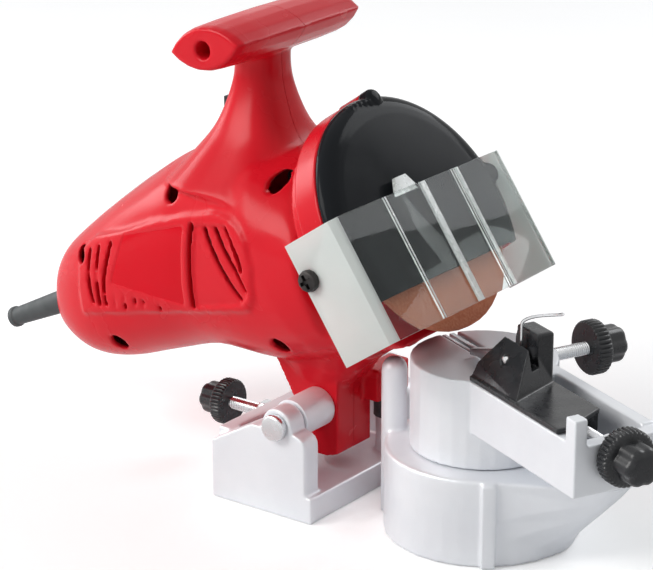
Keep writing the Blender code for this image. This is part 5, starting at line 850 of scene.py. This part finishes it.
# Grinding disc.
# A thin bonded-grit wheel on a steel flange, held by a washer and one screw.
DISC = finish("grinding_stone", (0.42, 0.115, 0.055), (0.50, 0.17, 0.09), (0.8, 0.95), 900, (2600, 0.00012))
eased_copy("grinding_disc", "grinding_stone", DISC, 0.0003)
eased_copy("inner_flange", "disc_flange", STEEL, 0.0003)
eased_copy("outer_washer", "disc_washer", ZINC, 0.0002)
crossed_screw("disc_screw", "disc_screw_driven", ZINC, screw_head("disc_screw", FORWARD), FORWARD)

# Guard.
# The red rim belongs to the plate behind the disc. The cover in front of it is a glossy black cup
# with a broad round shoulder and three lugs; both are open below the disc.
PARTING = -0.0012
RIM_VOXEL = 0.00065
GUARD_CHORD = -0.0247
CUP_OUTSIDE = ((PARTING + 0.0002, 0.0583), (0.0006, 0.0583), (0.0016, 0.0580), (0.0028, 0.0572), (0.0040, 0.0558),
               (0.0049, 0.0539), (0.0055, 0.0515), (0.0058, 0.0485), (0.0058, 0.0010))
CUP_INSIDE = ((PARTING - 0.001, 0.0565), (0.0002, 0.0565), (0.0012, 0.0561), (0.0022, 0.0551), (0.0031, 0.0536),
              (0.0037, 0.0514), (0.0040, 0.0484), (0.0040, 0.0010))
RIM_BAND = ((-0.0141, 0.0580), (-0.0137, 0.0584), (PARTING - 0.0003, 0.0584), (PARTING, 0.0581))
RIM_BORE = 0.0566
LUG_ANGLES = (84, 6, 174)
LUG_REACH = 0.0562
LUG_SHAPE = ((PARTING + 0.0002, 0.0047), (0.0036, 0.0047), (0.0049, 0.0041), (0.0056, 0.0029), (0.0058, 0.0006))
RAMP = tuple((88 + 3 * step, 0.0548, 0.0054 - 0.0003 * step) for step in range(11))
GUARD = finish("glossy_black", (0.012, 0.0135, 0.016), (0.016, 0.018, 0.021), (0.09, 0.14), 14, (900, 0.000004),
               plain={"Specular IOR Level": 0.05})


def head_place(around, up, along):
    return DISC_CENTRE + ACROSS * around + UPWARD * up + FORWARD * along


def above_parting(node, name, side):
    """A solid's copy cut at the parting between the red rim and the black cup."""
    piece = node_copy(node, name)
    work_on(piece)
    bpy.ops.object.mode_set(mode="EDIT")
    bpy.ops.mesh.select_all(action="SELECT")
    bpy.ops.mesh.bisect(plane_co=DISC_CENTRE + FORWARD * PARTING, plane_no=FORWARD * side, use_fill=True,
                        clear_inner=True)
    bpy.ops.object.mode_set(mode="OBJECT")
    return piece


below_chord = placed(block("below_chord", (-0.08, -0.08, -0.03), (0.08, 0.08, 0.03)),
                     head_place(0, GUARD_CHORD - 0.08, 0), FORWARD)
band = turned("rim_band", RIM_BAND, DISC_CENTRE, FORWARD, 192)
band_room = turned("band_room", ((-0.03, RIM_BORE), (0.01, RIM_BORE)), DISC_CENTRE, FORWARD, 192)
combine(band, [band_room, new_piece("under_band", below_chord.data.copy())], "DIFFERENCE")
rim = joined("guard_rim", node_copy("guard_back", "rim_plate"), above_parting("guard_cover", "rim_wall", -1), band)
remeshed(rim, RIM_VOXEL, 1)
smooth(rim, math.radians(50))
stands_for(rim, RED, "guard_back")
cup = turned("guard_cup", CUP_OUTSIDE, DISC_CENTRE, FORWARD, 144)
lugs = [turned("lug", LUG_SHAPE, head_place(LUG_REACH * math.cos(math.radians(turn)),
                                            LUG_REACH * math.sin(math.radians(turn)), 0), FORWARD, 32)
        for turn in LUG_ANGLES]
lugs += [turned("ramp", ((PARTING + 0.0002, 0.0028), (up * 0.8, 0.0028), (up, 0.0016)),
                head_place(reach * math.cos(math.radians(turn)), reach * math.sin(math.radians(turn)), 0), FORWARD, 24)
         for turn, reach, up in RAMP]
combine(cup, lugs, "UNION")
combine(cup, [turned("cup_room", CUP_INSIDE, DISC_CENTRE, FORWARD, 144), below_chord], "DIFFERENCE")
remeshed(cup, RIM_VOXEL, 2)
smooth(cup, math.radians(60))
stands_for(cup, GUARD, "guard_cover")
for number in range(1, 4):
    node = f"guard_screw_{number}"
    crossed_screw(node, node + "_driven", DARK_STEEL, screw_head(node, -FORWARD), -FORWARD, 0.6)

# Eye shield.
# One sheet of clear plastic, folded back at both sides and creased down its front; the side wings are frosted.
# Its folds, cut edges and top band carry a painted highlight: a whiter, cloudier sheet for the glints. Two screws hold
# it.
CLEAR = finish("clear_sheet", (0.86, 0.92, 0.90), (0.89, 0.94, 0.92), (0.02, 0.04), 18, (500, 0.0),
               plain={"Transmission Weight": 1.0, "IOR": 1.2, "Specular IOR Level": 0.1})
FROSTED = finish("frosted_sheet", (0.80, 0.85, 0.83), (0.84, 0.88, 0.86), (0.30, 0.42), 40, (900, 0.00001),
                 plain={"Transmission Weight": 0.35, "IOR": 1.45, "Specular IOR Level": 0.3})
# Painted highlight: a whiter, less clear sheet that stands in for the bright reflections along the folds and edges.
CREASE_HIGHLIGHT = finish("crease_painted_highlight", (0.90, 0.93, 0.92), (0.84, 0.88, 0.87), (0.2, 0.35), 60, (900, 0.00001),
                plain={"Transmission Weight": 0.25, "IOR": 1.45})
CREASE_HIGHLIGHT_BANDS = ((-0.0272, -0.0262), (-0.0010, 0.0022), (0.0236, 0.0243), (0.0270, 0.0284))
WING_Y = 0.0592
shield = eased_copy("eye_shield", "bent_shield", CLEAR, 0.00025)
work_on(shield)
bpy.ops.object.mode_set(mode="EDIT")
for across in [edge for pair in CREASE_HIGHLIGHT_BANDS for edge in pair] + [-WING_Y, WING_Y]:
    bpy.ops.mesh.select_all(action="SELECT")
    bpy.ops.mesh.bisect(plane_co=(0, across, 0), plane_no=(0, 1, 0))
bpy.ops.object.mode_set(mode="OBJECT")
shield.data.materials.append(FROSTED)
shield.data.materials.append(CREASE_HIGHLIGHT)
# Faces on the creases, on the cut edges and above the top line get the painted highlight sheet; the wings get the
# frosted one.
for face in shield.data.polygons:
    across = face.center.y
    height = (face.center - DISC_CENTRE).dot(UPWARD)
    if abs(across) > WING_Y:
        face.material_index = 1
    elif any(low < across < high for low, high in CREASE_HIGHLIGHT_BANDS) or abs(face.normal.dot(UPWARD)) > 0.7:
        face.material_index = 2
    elif height > 0.0144:
        face.material_index = 2
for node, line in (("shield_screw_near", -ACROSS), ("shield_screw_far", ACROSS)):
    crossed_screw(node, node + "_driven", DARK_STEEL, screw_head(node, line), line)
